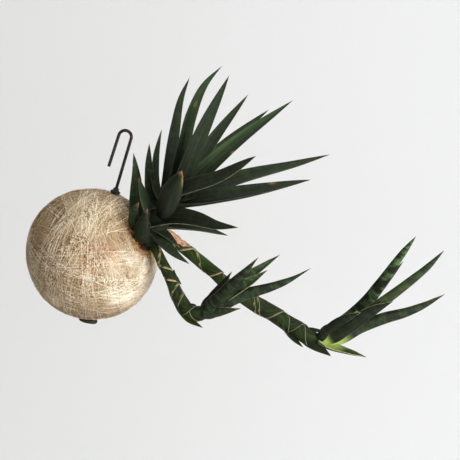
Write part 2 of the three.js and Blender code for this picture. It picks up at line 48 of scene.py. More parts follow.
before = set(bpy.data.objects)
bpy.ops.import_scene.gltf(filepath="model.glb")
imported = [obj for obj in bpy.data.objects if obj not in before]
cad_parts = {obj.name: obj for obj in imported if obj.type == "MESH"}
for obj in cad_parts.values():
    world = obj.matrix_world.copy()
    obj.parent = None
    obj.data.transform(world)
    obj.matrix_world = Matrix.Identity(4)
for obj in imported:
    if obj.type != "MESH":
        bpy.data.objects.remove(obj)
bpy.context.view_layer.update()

MM = 0.001
TOWARDS_CAMERA = Vector((0, -1, 0))
UPWARDS = Vector((0, 0, 1))
# How a curve spaces its knots: the power of the squared distance between them
CHORDAL = 0.5
CENTRIPETAL = 0.25

# Seeds of the random draws
THREAD_SEED, FLECK_SEED, FOOT_SEED, LOOSE_END_SEED = 7, 19, 31, 53

# Ball, from the frame
SOIL_LOW, SOIL_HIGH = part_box("soil_ball")
BALL_CENTRE = (SOIL_LOW + SOIL_HIGH) / (2 * MM)
SOIL_RADIUS = (SOIL_HIGH.z - SOIL_LOW.z) / (2 * MM)
WRAP_THICKNESS = 2.2
CLEARANCE = 0.32
BALL_RADIUS = SOIL_RADIUS + WRAP_THICKNESS + CLEARANCE
CROWN_FOOT = Vector((18, -7, -85))
FOOT_DIRECTION = (CROWN_FOOT - BALL_CENTRE).normalized()
CROWN_OPENING = math.radians(15.6)
WIRE_OPENING = math.radians(2.6)
BED_DEPTH = 1.3
LIP_DEPTH = 1.3

# Thread: the steps round a turn, the pieces that the turns are shared out to, the turns in a hank
THREAD_STEPS = 48
THREAD_PIECES = 5
HANK = 8
THREAD_STRAY = 0.012
TEMPLATE_SCALE = 10
ANY_PHASE = 6.28
LOOSE_ENDS = 420
HAIR_FACING = Vector((0.31, -0.8, 0.52))

# Bundles of thread turns: two places on the near face, as shares of the radius across and up,
# then how far the turns stray from them, how many there are, and how pale they are
THREAD_BUNDLES = (
    ((-0.02, 0.77), (-0.55, 0.14), 0.10, 22, 0.90),
    ((0.16, 0.80), (-0.39, -0.44), 0.13, 24, 0.88),
    ((0.10, 0.55), (-0.30, -0.60), 0.13, 16, 0.88),
    ((0.03, 0.28), (-0.03, -0.59), 0.10, 22, 0.96),
    ((0.08, 0.22), (0.26, -0.62), 0.11, 18, 0.94),
    ((0.20, 0.52), (-0.26, 0.11), 0.10, 12, 0.88),
    ((-0.15, 0.35), (0.17, 0.02), 0.06, 7, 0.94),
    ((-0.50, -0.58), (0.80, -0.41), 0.11, 18, 0.88),
    ((0.26, -0.75), (0.88, -0.47), 0.13, 24, 0.98),
    ((0.30, -0.02), (0.59, -0.07), 0.09, 14, 0.88),
    ((-0.92, 0.03), (-0.55, -0.18), 0.10, 14, 0.60),
    ((-0.31, -0.26), (0.20, -0.31), 0.05, 5, 0.96),
)
# Stretches where the thread has real stains, painted shade, painted light or one even tone: a place on the
# near face, then how far the full stretch reaches and where it ends, as shares of the radius
THREAD_STAINS_AND_PAINTED_LIGHT = {
    "orange": (((-0.5, 0.52), 0.05, 0.3), ((0.60, 0.20), 0.04, 0.30), ((0.84, 0.03), 0.02, 0.26)),
    "pink": (((0.30, 0.06), 0.04, 0.32), ((0.10, -0.05), 0.05, 0.40)),
    # Painted shade: the thread is darker on the left, the lower left, the bottom and the top, where less
    # light falls; on the left the thread is also a little browner
    "dark": (
        ((-0.95, -0.05), 0.1, 0.75),
        ((-0.6, -0.4), 0.1, 0.65),
        ((-0.1, -0.95), 0.35, 0.95),
        ((0.15, 0.95), 0.1, 0.5),
    ),
    # Painted light: the thread is paler on the lit lower right, and on the upper left
    "painted_light": (((0.76, -0.3), 0.3, 0.75), ((-0.42, 0.5), 0.0, 0.28)),
    "calm": (
        ((-0.9, -0.15), 0.3, 0.85),
        ((-0.62, 0.55), 0.3, 0.75),
        ((0.72, -0.5), 0.1, 0.55),
        ((0.08, -0.88), 0.15, 0.5),
    ),
}
# Colour and strength of the stretches that darken the thread: the first is painted shade, the others real
# stains
THREAD_HUES = (("dark", "94775a", 0.5), ("orange", "ecc892", 0.35), ("pink", "e0b09a", 0.45))

# The ball's slow waves: a direction, how fast they follow each other and where they start
LUMP_HEIGHT = 0.1
LUMPS = (
    ((0.9, 0.2, 0.4), 3.1, 0.0),
    ((-0.3, 0.8, 0.6), 4.3, 1.7),
    ((0.1, -0.7, 0.8), 5.2, 4.0),
    ((0.7, 0.6, -0.5), 6.4, 2.2),
    ((-0.8, 0.1, 0.5), 7.7, 5.1),
)
# Where the ball bulges or is flattened: a direction, then how far
BULGES = (((-0.83, 0, 0.55), 0.95), ((0.72, 0, -0.69), 0.9), ((0.34, 0, 0.94), -0.8))

# Wire hook
WIRE_RADIUS = 1.3
BEND_RADIUS = 5.2
SHANK_LEAN = 17.0
BURIED_LEAN = 12.5
SHORT_LEG_LEAN = 18.5
HOOK_TIP_FORWARD = 8.5
SHORT_LEG_LENGTH = 27.5
PLATE_THICKNESS = 2.8
SOFT_EDGE = 0.18
# Outlines of the collar and the plate, as radii and heights
COLLAR = (
    (1.62, 0), (3.7, 0), (4.1, 0.4), (4.1, 1.9), (3.4, 2.4), (2.5, 2.7), (2.4, 4.2), (2.0, 4.6), (1.62, 4.6),
)
PLATE = ((1.62, 0), (7.0, 0), (7.8, 0.8), (7.8, 2.3), (7.3, 2.8), (1.62, 2.8))

# Crown
CROWN_STEM = (
    ((2, 5, -91), 8), ((18, -7, -85), 10.5), ((25, -10, -77), 10), ((32, -13, -67), 8.5),
    ((37, -14, -57), 6.5), ((41, -14, -47), 4),
)
CROWN_AXIS = Vector((0.45, -0.55, 0.7)).normalized()

# Leaf sections
SPINE_FROM = 0.985
SPINE_RADIUS = 0.38
CLASP_FOLD = 1.9
SCALE_WRAP = math.radians(190)
SCALE_POINT = 15

# Dead bases and fibres at the crown's foot
OUTER_BASES = 16
INNER_BASES = 22
ROOT_FIBRES = 260

# A leaf's rib runs from root to tip. Its width is the widest breadth, or its breadths stand at shares of
# its length. taper: how late it narrows. facing: where its channel opens. fold: how far it is folded.
# clasp: the radius of the stem that its root holds. light: how light it is, with painted shade towards its
# root.
# painted_side_light: how strong the painted light on one side of the keel is, with painted shade on the
# other. mottle: how strong its bands are.
# margin: how strong its pale edge is. dry_tip: how long its brown tip is. pale, pale_to: how pale its root is
# and how far along.
# outer_pale: the share of that on its outer side. scars: the places along and across, and the spread each
# way.
CROWN_LEAVES = (
    dict(rib=((34, -5, -48), (40, 15, 3), (45.1, 26, 30.5), (52.4, 34, 49.4)), width=11.4, light=0.24,
         painted_side_light=-0.12),
    dict(rib=((39, -14, -51), (47.4, -19, -16), (54.5, -23, 12), (65.3, -26, 35.2), (80.3, -27, 51.9)),
         width=13, light=0.6, scars=((0.66, -0.1, 0.015, 0.25),), painted_side_light=-0.12),
    dict(rib=((42, -19, -53), (61.9, -33, -5.4), (85.8, -46, 42.6)), width=15, light=0.32,
         painted_side_light=-0.16),
    dict(rib=((44, -7, -52), (70, 13, -8), (102, 34, 35)), width=12.2, light=0.28, mottle=0.0,
         painted_side_light=0.12),
    dict(rib=((42, -17, -54), (88, -24, -12.4), (137, -31, 24)), width=15.4, light=0.58,
         scars=((0.48, -0.95, 0.01, 0.2),), painted_side_light=0.2),
    dict(rib=((41, -5, -53), (80.4, 19, -11), (119.8, 44, 22.8)), width=12.8, light=0.2),
    dict(rib=((39, -20, -54), (50, -31, -48), (78, -47, -38.8), (106.6, -69, -22.8)), width=15.2,
         facing=(0, -0.8, 0.6), light=0.26, taper=3.4, margin=0.3),
    dict(rib=((40, -13, -56), (102, -7, -35.7), (140, -3.5, -26.3), (169, -1, -18)), width=16.6, light=0.34,
         painted_side_light=-0.1),
    dict(rib=((39, -19, -59), (94, -27, -51), (151, -36, -40)), width=19.5, light=0.22, taper=2.5,
         scars=((0.72, 0.9, 0.02, 0.3),), painted_side_light=0.16),
    dict(rib=((21, -15, -74), (39, -23, -69.6), (58, -29, -71.6), (75, -35, -76.6), (93.4, -41, -78.3)),
         width=17, facing=(-0.1, -0.8, 0.5), light=0.06, mottle=0.0, margin=0.35),
    dict(rib=((27, -9, -75), (56, -5, -77.4), (85, -1, -84.8)), width=14.2, light=0.2),
    dict(rib=((34, -12, -63), (26.5, -3, -50), (24.4, 13, -22), (26.5, 24, -6), (28.9, 31, 5.6)), width=8.4,
         light=0.45, dry_tip=5),
    dict(rib=((31, -12, -69), (22.4, -3, -56), (19.2, 1, -31), (19.6, 5, -8.2)), width=12.6, light=0.25),
    dict(rib=((16, -6, -80), (9.6, -3, -66), (8.8, 1, -52), (8.5, 4, -35), (6.5, 7, -16)), width=15,
         light=0.55, scars=((0.84, 0.8, 0.015, 0.2),)),
    dict(rib=((23, -15, -77), (17.5, -18, -59), (12, -16, -37)), width=13.5, light=0.45, painted_side_light=0.12),
    dict(rib=((30, -18, -72), (36, -36, -58), (42, -50, -46), (48.6, -59, -34)), breadths=((0, 9),
         (0.25, 15.5), (0.55, 17.5), (0.78, 12), (0.88, 7.6), (0.91, 5.4), (0.925, 6.6), (0.945, 3),
         (0.96, 4), (0.975, 1.4), (1, 0.5)), facing=(0.25, 0.9, 0.35), fold=0.9, light=0.3, margin=0.3,
         scars=((1.0, 0.0, 0.035, 3.0), (0.88, 0.95, 0.08, 0.2)), mottle=-0.05, painted_side_light=0.16),
    dict(rib=((13, -15, -82), (9, -24, -74), (9, -27, -66), (13.4, -28, -57.4)), width=13,
         facing=(0.4, 0.8, 0.3), light=0.42, painted_side_light=-0.1),
    dict(rib=((18, -17, -89), (15.5, -27, -84), (17, -33, -73), (20.6, -35, -62.5)), width=14.5,
         facing=(0.2, 0.9, 0.3), light=0.1, mottle=0.0),
    dict(rib=((20, -14, -78), (31, -23, -89.5), (42, -28, -99.7), (54, -31, -107.4)), width=15.2,
         light=0.2),
    dict(rib=((19, -14, -76), (33, -19, -83.4), (46, -22, -94.6)), width=12.5, light=0.1),
    dict(rib=((39, -9, -57), (63, 29, -47), (88, 64, -38)), width=13, light=0.4),
    dict(rib=((39, -9, -52), (52, 27, -27), (62, 64, 0)), width=12.5, light=0.35),
    dict(rib=((29, -7, -69), (44, 23, -68), (60, 54, -72)), width=12.5, light=0.4),
    dict(rib=((31, -11, -69), (24, 2, -61), (20, 25, -45), (18, 47, -25)), width=10.5, light=0.3),
)

# Runners: places along the middle and the radius there
SHORT_RUNNER = (
    ((21, -9, -86), 3.9), ((26.8, -12, -97), 4.0), ((32, -14, -108), 4.1), ((36, -15, -116), 4.4),
    ((40, -16, -124), 4.9), ((43, -19, -131), 5.3), ((47, -22, -138), 5.9), ((52, -25, -145), 6.1),
    ((59, -28, -147), 5.8), ((65, -29, -145), 5.5),
)
# Scales of a runner: where each one's root and tip are along it, the side that its tip is on, counted
# round from the upper side towards the camera, how light it is and how dry
SHORT_RUNNER_SCALES = (
    (0.00, 0.25, 185, 0.45, 0.7),
    (0.10, 0.33, 10, 0.40, 0.6),
    (0.20, 0.47, 15, 0.35, 1.0),
    (0.30, 0.61, 185, 0.38, 0.8),
    (0.44, 0.75, 190, 0.34, 0.3),
    (0.55, 0.88, 15, 0.34, 0.0),
    (0.68, 0.92, 182, 0.30, 0.0),
)
SHORT_RUNNER_FREE_SCALES = (
    dict(rib=((44, -22, -136), (52, -27, -151), (64.4, -31, -158)), width=11, light=0.3),
    dict(rib=((38, -17, -114), (42, -18, -119), (47, -19, -124)), width=6, light=0.3),
    dict(rib=((50, -24, -143.5), (57, -27.5, -147), (65, -30, -146), (72.3, -34, -142.8)),
         breadths=((0, 12.5), (0.5, 12), (0.8, 8), (1, 0.4)), facing=(0.05, 1, 0.05), light=0.3, clasp=6.3,
         margin=1.0),
)
SHORT_ROSETTE_STEM = (
    ((60, -28, -147), 5.2), ((70, -30, -143), 5.6), ((79, -31, -134), 4.6), ((87, -33, -125), 2.6),
)
SHORT_ROSETTE_AXIS = Vector((0.5, -0.6, 0.6)).normalized()
SHORT_ROSETTE_LEAVES = (
    dict(rib=((66, -30, -144), (73.5, -34, -139.2), (84.4, -40, -128.3), (96.2, -44, -114.9),
         (107.8, -46, -101.8)), breadths=((0, 11), (0.25, 11.5), (0.5, 10.8), (0.72, 6.4), (0.88, 3),
         (1, 0.3)), facing=(-0.2, 0.95, 0.2), light=0.02, mottle=0.05, clasp=5.2, margin=1.0,
         painted_side_light=0.15),
    dict(rib=((66, -29, -143.6), (75.4, -27, -136.8), (92.9, -22, -122.5), (110.7, -16, -110.6),
         (126, -10, -100.3)), breadths=((0, 9), (0.3, 11), (0.5, 9.6), (0.7, 6.6), (0.86, 3.6), (1, 0.3)),
         facing=(-0.3, -0.9, 0.3), light=0.42, mottle=0.3, clasp=4.4),
    dict(rib=((66, -29, -144.4), (76, -31, -137.5), (92.2, -33, -126.6), (104, -35, -119.8),
         (115.2, -37, -112)), breadths=((0, 9), (0.3, 11), (0.55, 10), (0.75, 6.6), (0.9, 3), (1, 0.3)),
         facing=(-0.25, -0.9, 0.35), light=0.42, mottle=0.45, clasp=4.6, margin=0.6),
    dict(rib=((66, -30, -145), (77, -33, -140.4), (97.7, -35, -131.6), (119, -36, -125.4),
         (133, -36, -119.9), (149.4, -35, -110.7)), breadths=((0, 10), (0.3, 10.4), (0.57, 7.8),
         (0.72, 5.8), (0.82, 3.7), (0.9, 2), (1, 0.3)), facing=(-0.15, 0.95, 0.25), light=0.16, mottle=0.1,
         clasp=5, margin=0.5, painted_side_light=0.14),
    dict(rib=((65.6, -28, -143.6), (70.2, -29, -135.8), (77.9, -30, -125.8), (87.2, -29, -113.4)),
         breadths=((0, 9), (0.4, 8), (0.7, 5.6), (0.9, 2), (1, 0.3)), facing=(0.3, 0.9, -0.1), light=0.08,
         clasp=4.6, margin=0.7, mottle=-0.1),
    dict(rib=((65, -30, -145.4), (72, -33, -146), (82, -38, -144.4), (94.2, -40, -142)), breadths=((0, 11),
         (0.4, 9), (0.7, 5), (0.88, 2), (1, 0.3)), facing=(-0.1, 0.85, 0.4), light=0.3, clasp=5.4,
         margin=0.9, mottle=0.0),
    dict(rib=((66, -27, -143.8), (80, -10, -135), (102, 4, -124.4)), width=9, light=0.3, clasp=4),
)
LONG_RUNNER = (
    ((26, -3, -79), 4.6), ((34, 5, -86), 4.3), ((45.3, 9, -93.6), 4.6), ((58.6, 10, -103.3), 5.1),
    ((71.7, 10, -114.3), 5.0), ((78.6, 10, -120.5), 5.1), ((88, 10, -129), 5.5), ((99, 10, -136), 6.2),
    ((111, 10, -143), 6.8), ((121, 10, -149), 6.4), ((132, 10, -156), 6.6), ((141, 10, -162), 7),
    ((151, 9, -168), 6.5), ((160, 9, -171), 5.8),
)
LONG_RUNNER_SCALES = (
    (0.00, 0.15, 180, 0.55, 0.4),
    (0.06, 0.21, 10, 0.50, 0.6),
    (0.13, 0.285, 188, 0.50, 0.9),
    (0.19, 0.37, 15, 0.56, 1.0),
    (0.28, 0.44, 180, 0.48, 0.2),
    (0.36, 0.53, 15, 0.36, 0.3),
    (0.44, 0.62, 178, 0.34, 0.6),
    (0.49, 0.65, 192, 0.34, 0.5),
    (0.54, 0.735, 15, 0.32, 0.2),
    (0.64, 0.825, 182, 0.30, 0.0),
    (0.70, 0.865, 12, 0.28, 0.0),
    (0.77, 0.935, 176, 0.26, 0.0),
)
LONG_RUNNER_FREE_SCALES = (
    dict(rib=((129, 8, -157), (138, 6, -169.6), (146, 5, -176.6)), width=10, light=0.1),
    dict(rib=((146, 10, -163.6), (153, 9, -163), (163, 8, -163)), width=7, light=0.1),
    dict(rib=((138, 10, -160.4), (147, 8, -167), (157, 5, -175.3), (168.3, 2, -183.2)), breadths=((0, 13),
         (0.45, 13.4), (0.62, 10), (0.78, 6.2), (0.92, 2.6), (1, 0.4)), facing=(0.15, 0.95, 0.2), light=0.2,
         clasp=6.4, margin=1.0),
)
LONG_ROSETTE_STEM = (
    ((155, 9, -170), 5.4), ((167, 8, -169), 6), ((179, 8, -160), 5.6), ((192, 8, -148), 3.4),
)
LONG_ROSETTE_AXIS = Vector((0.52, -0.55, 0.65)).normalized()
LONG_ROSETTE_LEAVES = (
    dict(rib=((161, 9, -169), (169.4, 9, -164.2), (183.1, 11, -154.9), (200, 11, -138.8),
         (209.8, 10, -125.9), (224.2, 8, -104.8), (238.4, 7, -85.6)), breadths=((0, 10), (0.3, 11.8),
         (0.55, 10.2), (0.75, 7.4), (0.87, 5.6), (0.95, 2.8), (1, 0.3)), facing=(-0.25, 0.95, 0.1),
         light=0.22, mottle=1.0, clasp=5.2, painted_side_light=0.24, pale=0.0),
    dict(rib=((162, 11, -169), (179, 18, -157.4), (202.7, 26, -138.6), (218.3, 31, -121.6),
         (232.8, 35, -105.2)), width=10, light=0.2, clasp=4.6),
    dict(rib=((162, 8, -169.6), (174, 5, -165), (194.1, 0, -151.8), (214.1, -6, -136.4),
         (231.4, -10, -122.6), (245.9, -13, -110.1), (258.2, -16, -96.7)), breadths=((0, 10), (0.3, 10.5),
         (0.55, 8.6), (0.72, 7.4), (0.86, 5.4), (0.94, 2.8), (1, 0.3)), facing=(-0.2, 0.9, 0.3), light=0.34,
         mottle=0.12, clasp=4.8, margin=0.5, painted_side_light=0.16, pale=0.05, pale_to=1.0),
    dict(rib=((162, 9, -171), (175, 8, -169.2), (194.7, 7, -160), (215.7, 7, -152.4), (229.2, 8, -148.9),
         (242.8, 9, -143.7), (262.3, 9, -133.2)), breadths=((0, 11), (0.3, 11.6), (0.52, 10), (0.66, 8.6),
         (0.79, 6.6), (0.91, 3.4), (1, 0.3)), facing=(-0.15, 0.9, 0.35), light=0.26, mottle=0.06, clasp=5.4,
         margin=0.9, painted_side_light=0.16, pale=0.9, pale_to=0.24),
    dict(rib=((160, 7, -172.6), (168, 4, -176.2), (180, 0, -179.4), (196.6, -4, -183.5)), breadths=((0, 11),
         (0.45, 9), (0.75, 6), (0.9, 2.6), (1, 0.3)), facing=(0.2, -0.5, 0.84), light=0.4, pale=0.85,
         margin=1.0, pale_to=0.62, painted_side_light=0.3, outer_pale=0.15),
    dict(rib=((162, 7, -170.4), (171, 3, -166.8), (184.4, -4, -158.4), (199.3, -8, -147.4),
         (217.5, -11, -138)), breadths=((0, 12), (0.35, 12), (0.6, 10.5), (0.8, 7), (0.93, 2.6), (1, 0.3)),
         facing=(-0.15, 0.95, 0.2), light=0.12, clasp=5.6, margin=1.0, mottle=-0.1, dry_tip=0.5, pale=0.8,
         pale_to=0.14),
    dict(rib=((161, 6, -168.6), (167, 2, -162.6), (178, -5, -153), (192, -8, -147)), breadths=((0, 11),
         (0.4, 9.5), (0.7, 6), (0.9, 2.6), (1, 0.3)), facing=(0.1, 0.95, -0.1), light=0.1, clasp=5.4,
         margin=1.0, mottle=-0.1, dry_tip=0.5, pale=0.0),
    dict(rib=((162, 10, -170), (179, 22, -163.3), (205.4, 36, -149.2), (218, 44, -136)), width=9.5,
         light=0.35, clasp=4.2),
)

# Papery bracts along the upper side of the long runner, laid out as the leaves are
DRY_BRACTS = (
    dict(rib=((25.5, -3, -73.6), (30, 0, -76.4), (35.6, 2, -81.2), (42, 4, -87.2)), breadths=((0, 3),
         (0.18, 5.4), (0.3, 4.4), (0.46, 5.8), (0.6, 4.4), (0.76, 5.6), (0.9, 3), (1, 0.8))),
    dict(rib=((34, 1, -80), (40, 3, -84.4), (47.6, 4, -90.4)), breadths=((0, 3), (0.2, 5), (0.36, 6.2),
         (0.5, 4.6), (0.66, 6), (0.8, 4), (1, 0.6))),
    dict(rib=((41, 3, -86.4), (46.6, 4, -90.2), (53.6, 4, -93.4)), breadths=((0, 4), (0.25, 6.2),
         (0.4, 4.8), (0.6, 6), (0.75, 3.6), (0.88, 3), (1, 0.5))),
)

# Camera, at the photograph's viewing angle
CAMERA_PLACE = Vector((0.0858, -1.181, -0.0801))
FIELD_OF_VIEW = math.radians(18.08)
SENSOR = 36

# Studio, in metres
FLOOR_HEIGHT = -1.3
STAGE_RADIUS = 2.6
FLOOR_SWEEP = 1.2
WALL_HEIGHT = 3.2
LIGHTS_AIM = Vector((0.05, 0, -0.1))


def linear(code):
    """A colour written as rrggbb, as the linear values that a shader takes."""
    parts = [int(code[i : i + 2], 16) / 255 for i in (0, 2, 4)]
    return tuple(p / 12.92 if p <= 0.04045 else ((p + 0.055) / 1.055) ** 2.4 for p in parts)


def shade_of(colour):
    """A colour from its code, or from a setting."""
    return linear(colour) if isinstance(colour, str) else tuple(colour)


class Path:
    """A smooth line through points, asked for places by share of its length or by step."""

    def __init__(self, points, power=CHORDAL, smooth=True):
        knots = np.array([tuple(p) for p in points], float)
        self.places = self.curved(knots, power) if smooth else knots
        self.steps = np.linspace(0, 1, len(self.places))
        gaps = np.linalg.norm(np.diff(self.places, axis=0), axis=1)
        self.reach = np.concatenate(([0], np.cumsum(gaps)))
        self.length = self.reach[-1]
        self.tangents = np.gradient(self.places, self.reach, axis=0)

    @staticmethod
    def curved(knots, power):
        """Places on the curve that the part's source uses, thirty to a span."""
        before, after = 2 * knots[0] - knots[1], 2 * knots[-1] - knots[-2]
        padded = np.vstack((before, knots, after))
        places = []
        for i in range(len(knots) - 1):
            p0, p1, p2, p3 = padded[i : i + 4]
            d0, d1, d2 = (float(((b - a) ** 2).sum()) ** power for a, b in ((p0, p1), (p1, p2), (p2, p3)))
            leave = ((p1 - p0) / d0 - (p2 - p0) / (d0 + d1) + (p2 - p1) / d1) * d1
            arrive = ((p2 - p1) / d1 - (p3 - p1) / (d1 + d2) + (p3 - p2) / d2) * d1
            for step in np.linspace(0, 1, 30, endpoint=False):
                s2, s3 = step * step, step**3
                place = (2 * s3 - 3 * s2 + 1) * p1 + (s3 - 2 * s2 + step) * leave
                places.append(place + (3 * s2 - 2 * s3) * p2 + (s3 - s2) * arrive)
        places.append(knots[-1])
        return np.array(places)

    def look_up(self, table, scale, value):
        return Vector([float(np.interp(value, scale, table[:, axis])) for axis in range(3)])

    def at(self, share):
        """The place and direction at a share of the length."""
        value = share * self.length
        place = self.look_up(self.places, self.reach, value)
        return place, self.look_up(self.tangents, self.reach, value).normalized()

    def at_step(self, step):
        """The place and direction where the points are counted evenly."""
        place = self.look_up(self.places, self.steps, step)
        return place, self.look_up(self.tangents, self.steps, step).normalized()


def axes_at(tangent, facing):
    """The side, and the direction across the path that faces most nearly towards facing."""
    up = (facing - tangent * facing.dot(tangent)).normalized()
    return up.cross(tangent).normalized(), up


def on_ring(centre, tangent, facing, turn, radius):
    """A point on a ring round a path."""
    side, up = axes_at(tangent, facing)
    return centre + (side * math.cos(turn) + up * math.sin(turn)) * radius


def scattered(luck, spread):
    """A random offset, alike in all directions."""
    return Vector([luck.gauss(0, spread) for _ in range(3)])


def smooth_step(low, high, value):
    share = min(1.0, max(0.0, (value - low) / (high - low)))
    return share * share * (3 - 2 * share)


class Body:
    """A mesh being made, with a place, a tone and a mark kept at each point for its material to read."""

    def __init__(self):
        self.mesh = bmesh.new()
        self.mesh.loops.layers.uv.new("UVMap")
        self.place = self.mesh.verts.layers.float_vector.new("place")
        self.tone = self.mesh.verts.layers.float_vector.new("tone")
        self.mark = self.mesh.verts.layers.float_vector.new("mark")

    def rolled(self, around, along, shape):
        """Rolls a flat grid up into a closed body. shape gives a point, then its place, tone and mark."""
        grid = bmesh.ops.create_grid(
            self.mesh, x_segments=around, y_segments=along, size=1.0, calc_uvs=True
        )
        for vert in grid["verts"]:
            turn, share = math.pi * (vert.co.x + 1), 0.5 * (vert.co.y + 1)
            point, vert[self.place], vert[self.tone], vert[self.mark] = shape(turn, share)
            vert.co = point * MM
        ends = {e for v in grid["verts"] for e in v.link_edges if e.is_boundary}
        bmesh.ops.remove_doubles(self.mesh, verts=grid["verts"], dist=2e-6)
        open_ends = [e for e in ends if e.is_valid and e.is_boundary]
        bmesh.ops.holes_fill(self.mesh, edges=open_ends, sides=0)

    def finished(self, name, material, slot, nodes):
        """Turns the mesh into a piece that rides on the root and replaces its CAD nodes."""
        bmesh.ops.recalc_face_normals(self.mesh, faces=self.mesh.faces)
        return finished(self.mesh, name, material, nodes)


def finished(mesh, name, material, nodes):
    data = bpy.data.meshes.new(name)
    mesh.to_mesh(data)
    mesh.free()
    data.polygons.foreach_set("use_smooth", [True] * len(data.polygons))
    data.materials.append(material)
    piece = bpy.data.objects.new(name, data)
    bpy.context.scene.collection.objects.link(piece)
    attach(piece, "root")
    if nodes:
        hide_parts(*nodes)
    return piece


class Finish:
    """A procedural material, wired up node by node."""

    def __init__(self, name, roughness=0.5, metallic=0.0, sheen=0.0, specular=0.5):
        self.material = bpy.data.materials.new(name)
        self.material.use_nodes = True
        self.tree = self.material.node_tree
        self.shader = self.tree.nodes["Principled BSDF"].inputs
        self.shader["Roughness"].default_value = roughness
        self.shader["Metallic"].default_value = metallic
        self.shader["Sheen Weight"].default_value = sheen
        self.shader["Specular IOR Level"].default_value = specular

    def put(self, value, socket):
        """Feeds an input from another node, or sets it to a number or a colour."""
        if isinstance(value, bpy.types.NodeSocket):
            self.tree.links.new(value, socket)
        elif socket.type == "RGBA":
            socket.default_value = (*shade_of(value), 1)
        else:
            socket.default_value = value

    def node(self, kind, inputs, output=0, **settings):
        """A node with its settings made and its inputs linked or set. Gives one of its outputs."""
        made = self.tree.nodes.new("ShaderNode" + kind)
        for name, value in settings.items():
            setattr(made, name, value)
        for key, value in inputs.items():
            self.put(value, made.inputs[key])
        return made.outputs[output]

    def object_place(self):
        return self.node("TexCoord", {}, "Object")

    def surface_place(self):
        return self.node("TexCoord", {}, "UV")

    def parts(self, vector):
        node = self.tree.nodes.new("ShaderNodeSeparateXYZ")
        self.put(vector, node.inputs[0])
        return tuple(node.outputs)

    def kept(self, name):
        """The three numbers that the mesh keeps under a name."""
        return self.parts(self.node("Attribute", {}, "Vector", attribute_name=name))

    def stretched(self, place, scale):
        return self.node("Mapping", {"Vector": place, "Scale": scale})

    def noise(self, place, scale, detail=3.0, roughness=0.55, distortion=0.0):
        inputs = {"Vector": place, "Scale": scale, "Detail": detail, "Roughness": roughness}
        return self.node("TexNoise", {**inputs, "Distortion": distortion})

    def reckon(self, operation, first, second):
        return self.node("Math", {0: first, 1: second}, operation=operation)

    def plus(self, first, second):
        return self.reckon("ADD", first, second)

    def times(self, first, second):
        return self.reckon("MULTIPLY", first, second)

    def between(self, value, low, high, start=0.0, end=1.0):
        """Maps value from low and high to start and end, held there outside them."""
        inputs = dict(enumerate((value, low, high, start, end)))
        return self.node("MapRange", inputs, interpolation_type="SMOOTHSTEP")

    def mixed(self, share, first, second, blend="MIX"):
        return self.node("Mix", {0: share, 6: first, 7: second}, 2, data_type="RGBA", blend_type=blend)

    def banded(self, value, *stops):
        """A colour ramp, its stops given as a position and a colour."""
        node = self.tree.nodes.new("ShaderNodeValToRGB")
        ramp = node.color_ramp
        while len(ramp.elements) < len(stops):
            ramp.elements.new(0.5)
        for element, (position, colour) in zip(ramp.elements, stops):
            element.position = position
            element.color = (*shade_of(colour), 1)
        self.put(value, node.inputs[0])
        return node.outputs[0]

    def stained(self, place, name, pace):
        """How far a place lies in the stretches of a name, broken up by noise. The stretches are real stains,
        painted shade, painted light and even tone.
        """
        total, scale = 0.0, BALL_RADIUS * MM
        for (across, up), inner, outer in THREAD_STAINS_AND_PAINTED_LIGHT[name]:
            middle = (BALL_CENTRE + near_face(across, up) * BALL_RADIUS) * MM
            away = self.node("VectorMath", {0: place, 1: middle}, "Value", operation="DISTANCE")
            total = self.reckon("MAXIMUM", self.between(away, inner * scale, outer * scale, 1.0, 0.0), total)
        return self.times(total, self.between(self.noise(place, pace, 3), 0.3, 0.6, 0.25, 1.0))

    def coloured(self, colour):
        self.put(colour, self.shader["Base Color"])

    def bumped(self, height, depth, strength=0.6):
        """Bumps up to a depth in millimetres."""
        inputs = {"Strength": strength, "Distance": depth * MM, "Height": height}
        self.put(self.node("Bump", inputs), self.shader["Normal"])

    def roughened(self, value, low, high):
        self.put(self.between(value, 0.3, 0.7, low, high), self.shader["Roughness"])


def thread_finish(settings):
    """Thread. tone keeps how pale a turn is; the ball's stains, painted shade, painted light, patches and
    specks lie over that.
    """
    finish = Finish("wound_thread", roughness=0.85, sheen=0.15, specular=0.2)
    place = finish.object_place()
    pale, _, _ = finish.kept("tone")
    calm = finish.times(finish.stained(place, "calm", 20), 0.6)
    pale = finish.times(pale, finish.reckon("SUBTRACT", 1.0, calm))
    pale = finish.plus(pale, finish.times(calm, 0.66))
    colour = finish.banded(
        pale, (0.0, "6c5237"), (0.35, "a38660"), (0.7, "cab48e"), (1.0, settings.thread_pale)
    )
    # The first darkening is painted shade, the others are real stains
    for darkening, hue, strength in THREAD_HUES:
        reach = finish.stained(place, darkening, 90)
        colour = finish.mixed(finish.times(reach, strength), colour, hue, "MULTIPLY")
    # Painted light: the thread is mixed towards pale cream on the lit lower right, and on the upper left
    painted_light_reach = finish.stained(place, "painted_light", 60)
    colour = finish.mixed(finish.times(painted_light_reach, 0.62), colour, "fff7e6")
    patches = finish.between(finish.noise(place, 38, 2), 0.4, 0.68)
    colour = finish.mixed(finish.times(patches, 0.3), colour, "c2a688", "MULTIPLY")
    specks = finish.between(finish.noise(place, 700, 2, 0.6), 0.53, 0.59)
    thick = finish.between(finish.noise(place, 70, 2), 0.36, 0.6, 0.15, 0.8)
    # Fewer specks where the painted light lies
    thick = finish.reckon("MAXIMUM", finish.reckon("SUBTRACT", thick, finish.times(painted_light_reach, 0.5)), 0.0)
    finish.coloured(finish.mixed(finish.times(specks, thick), colour, "75563a"))
    finish.bumped(finish.noise(place, 2400, 2), 0.1)
    return finish.material


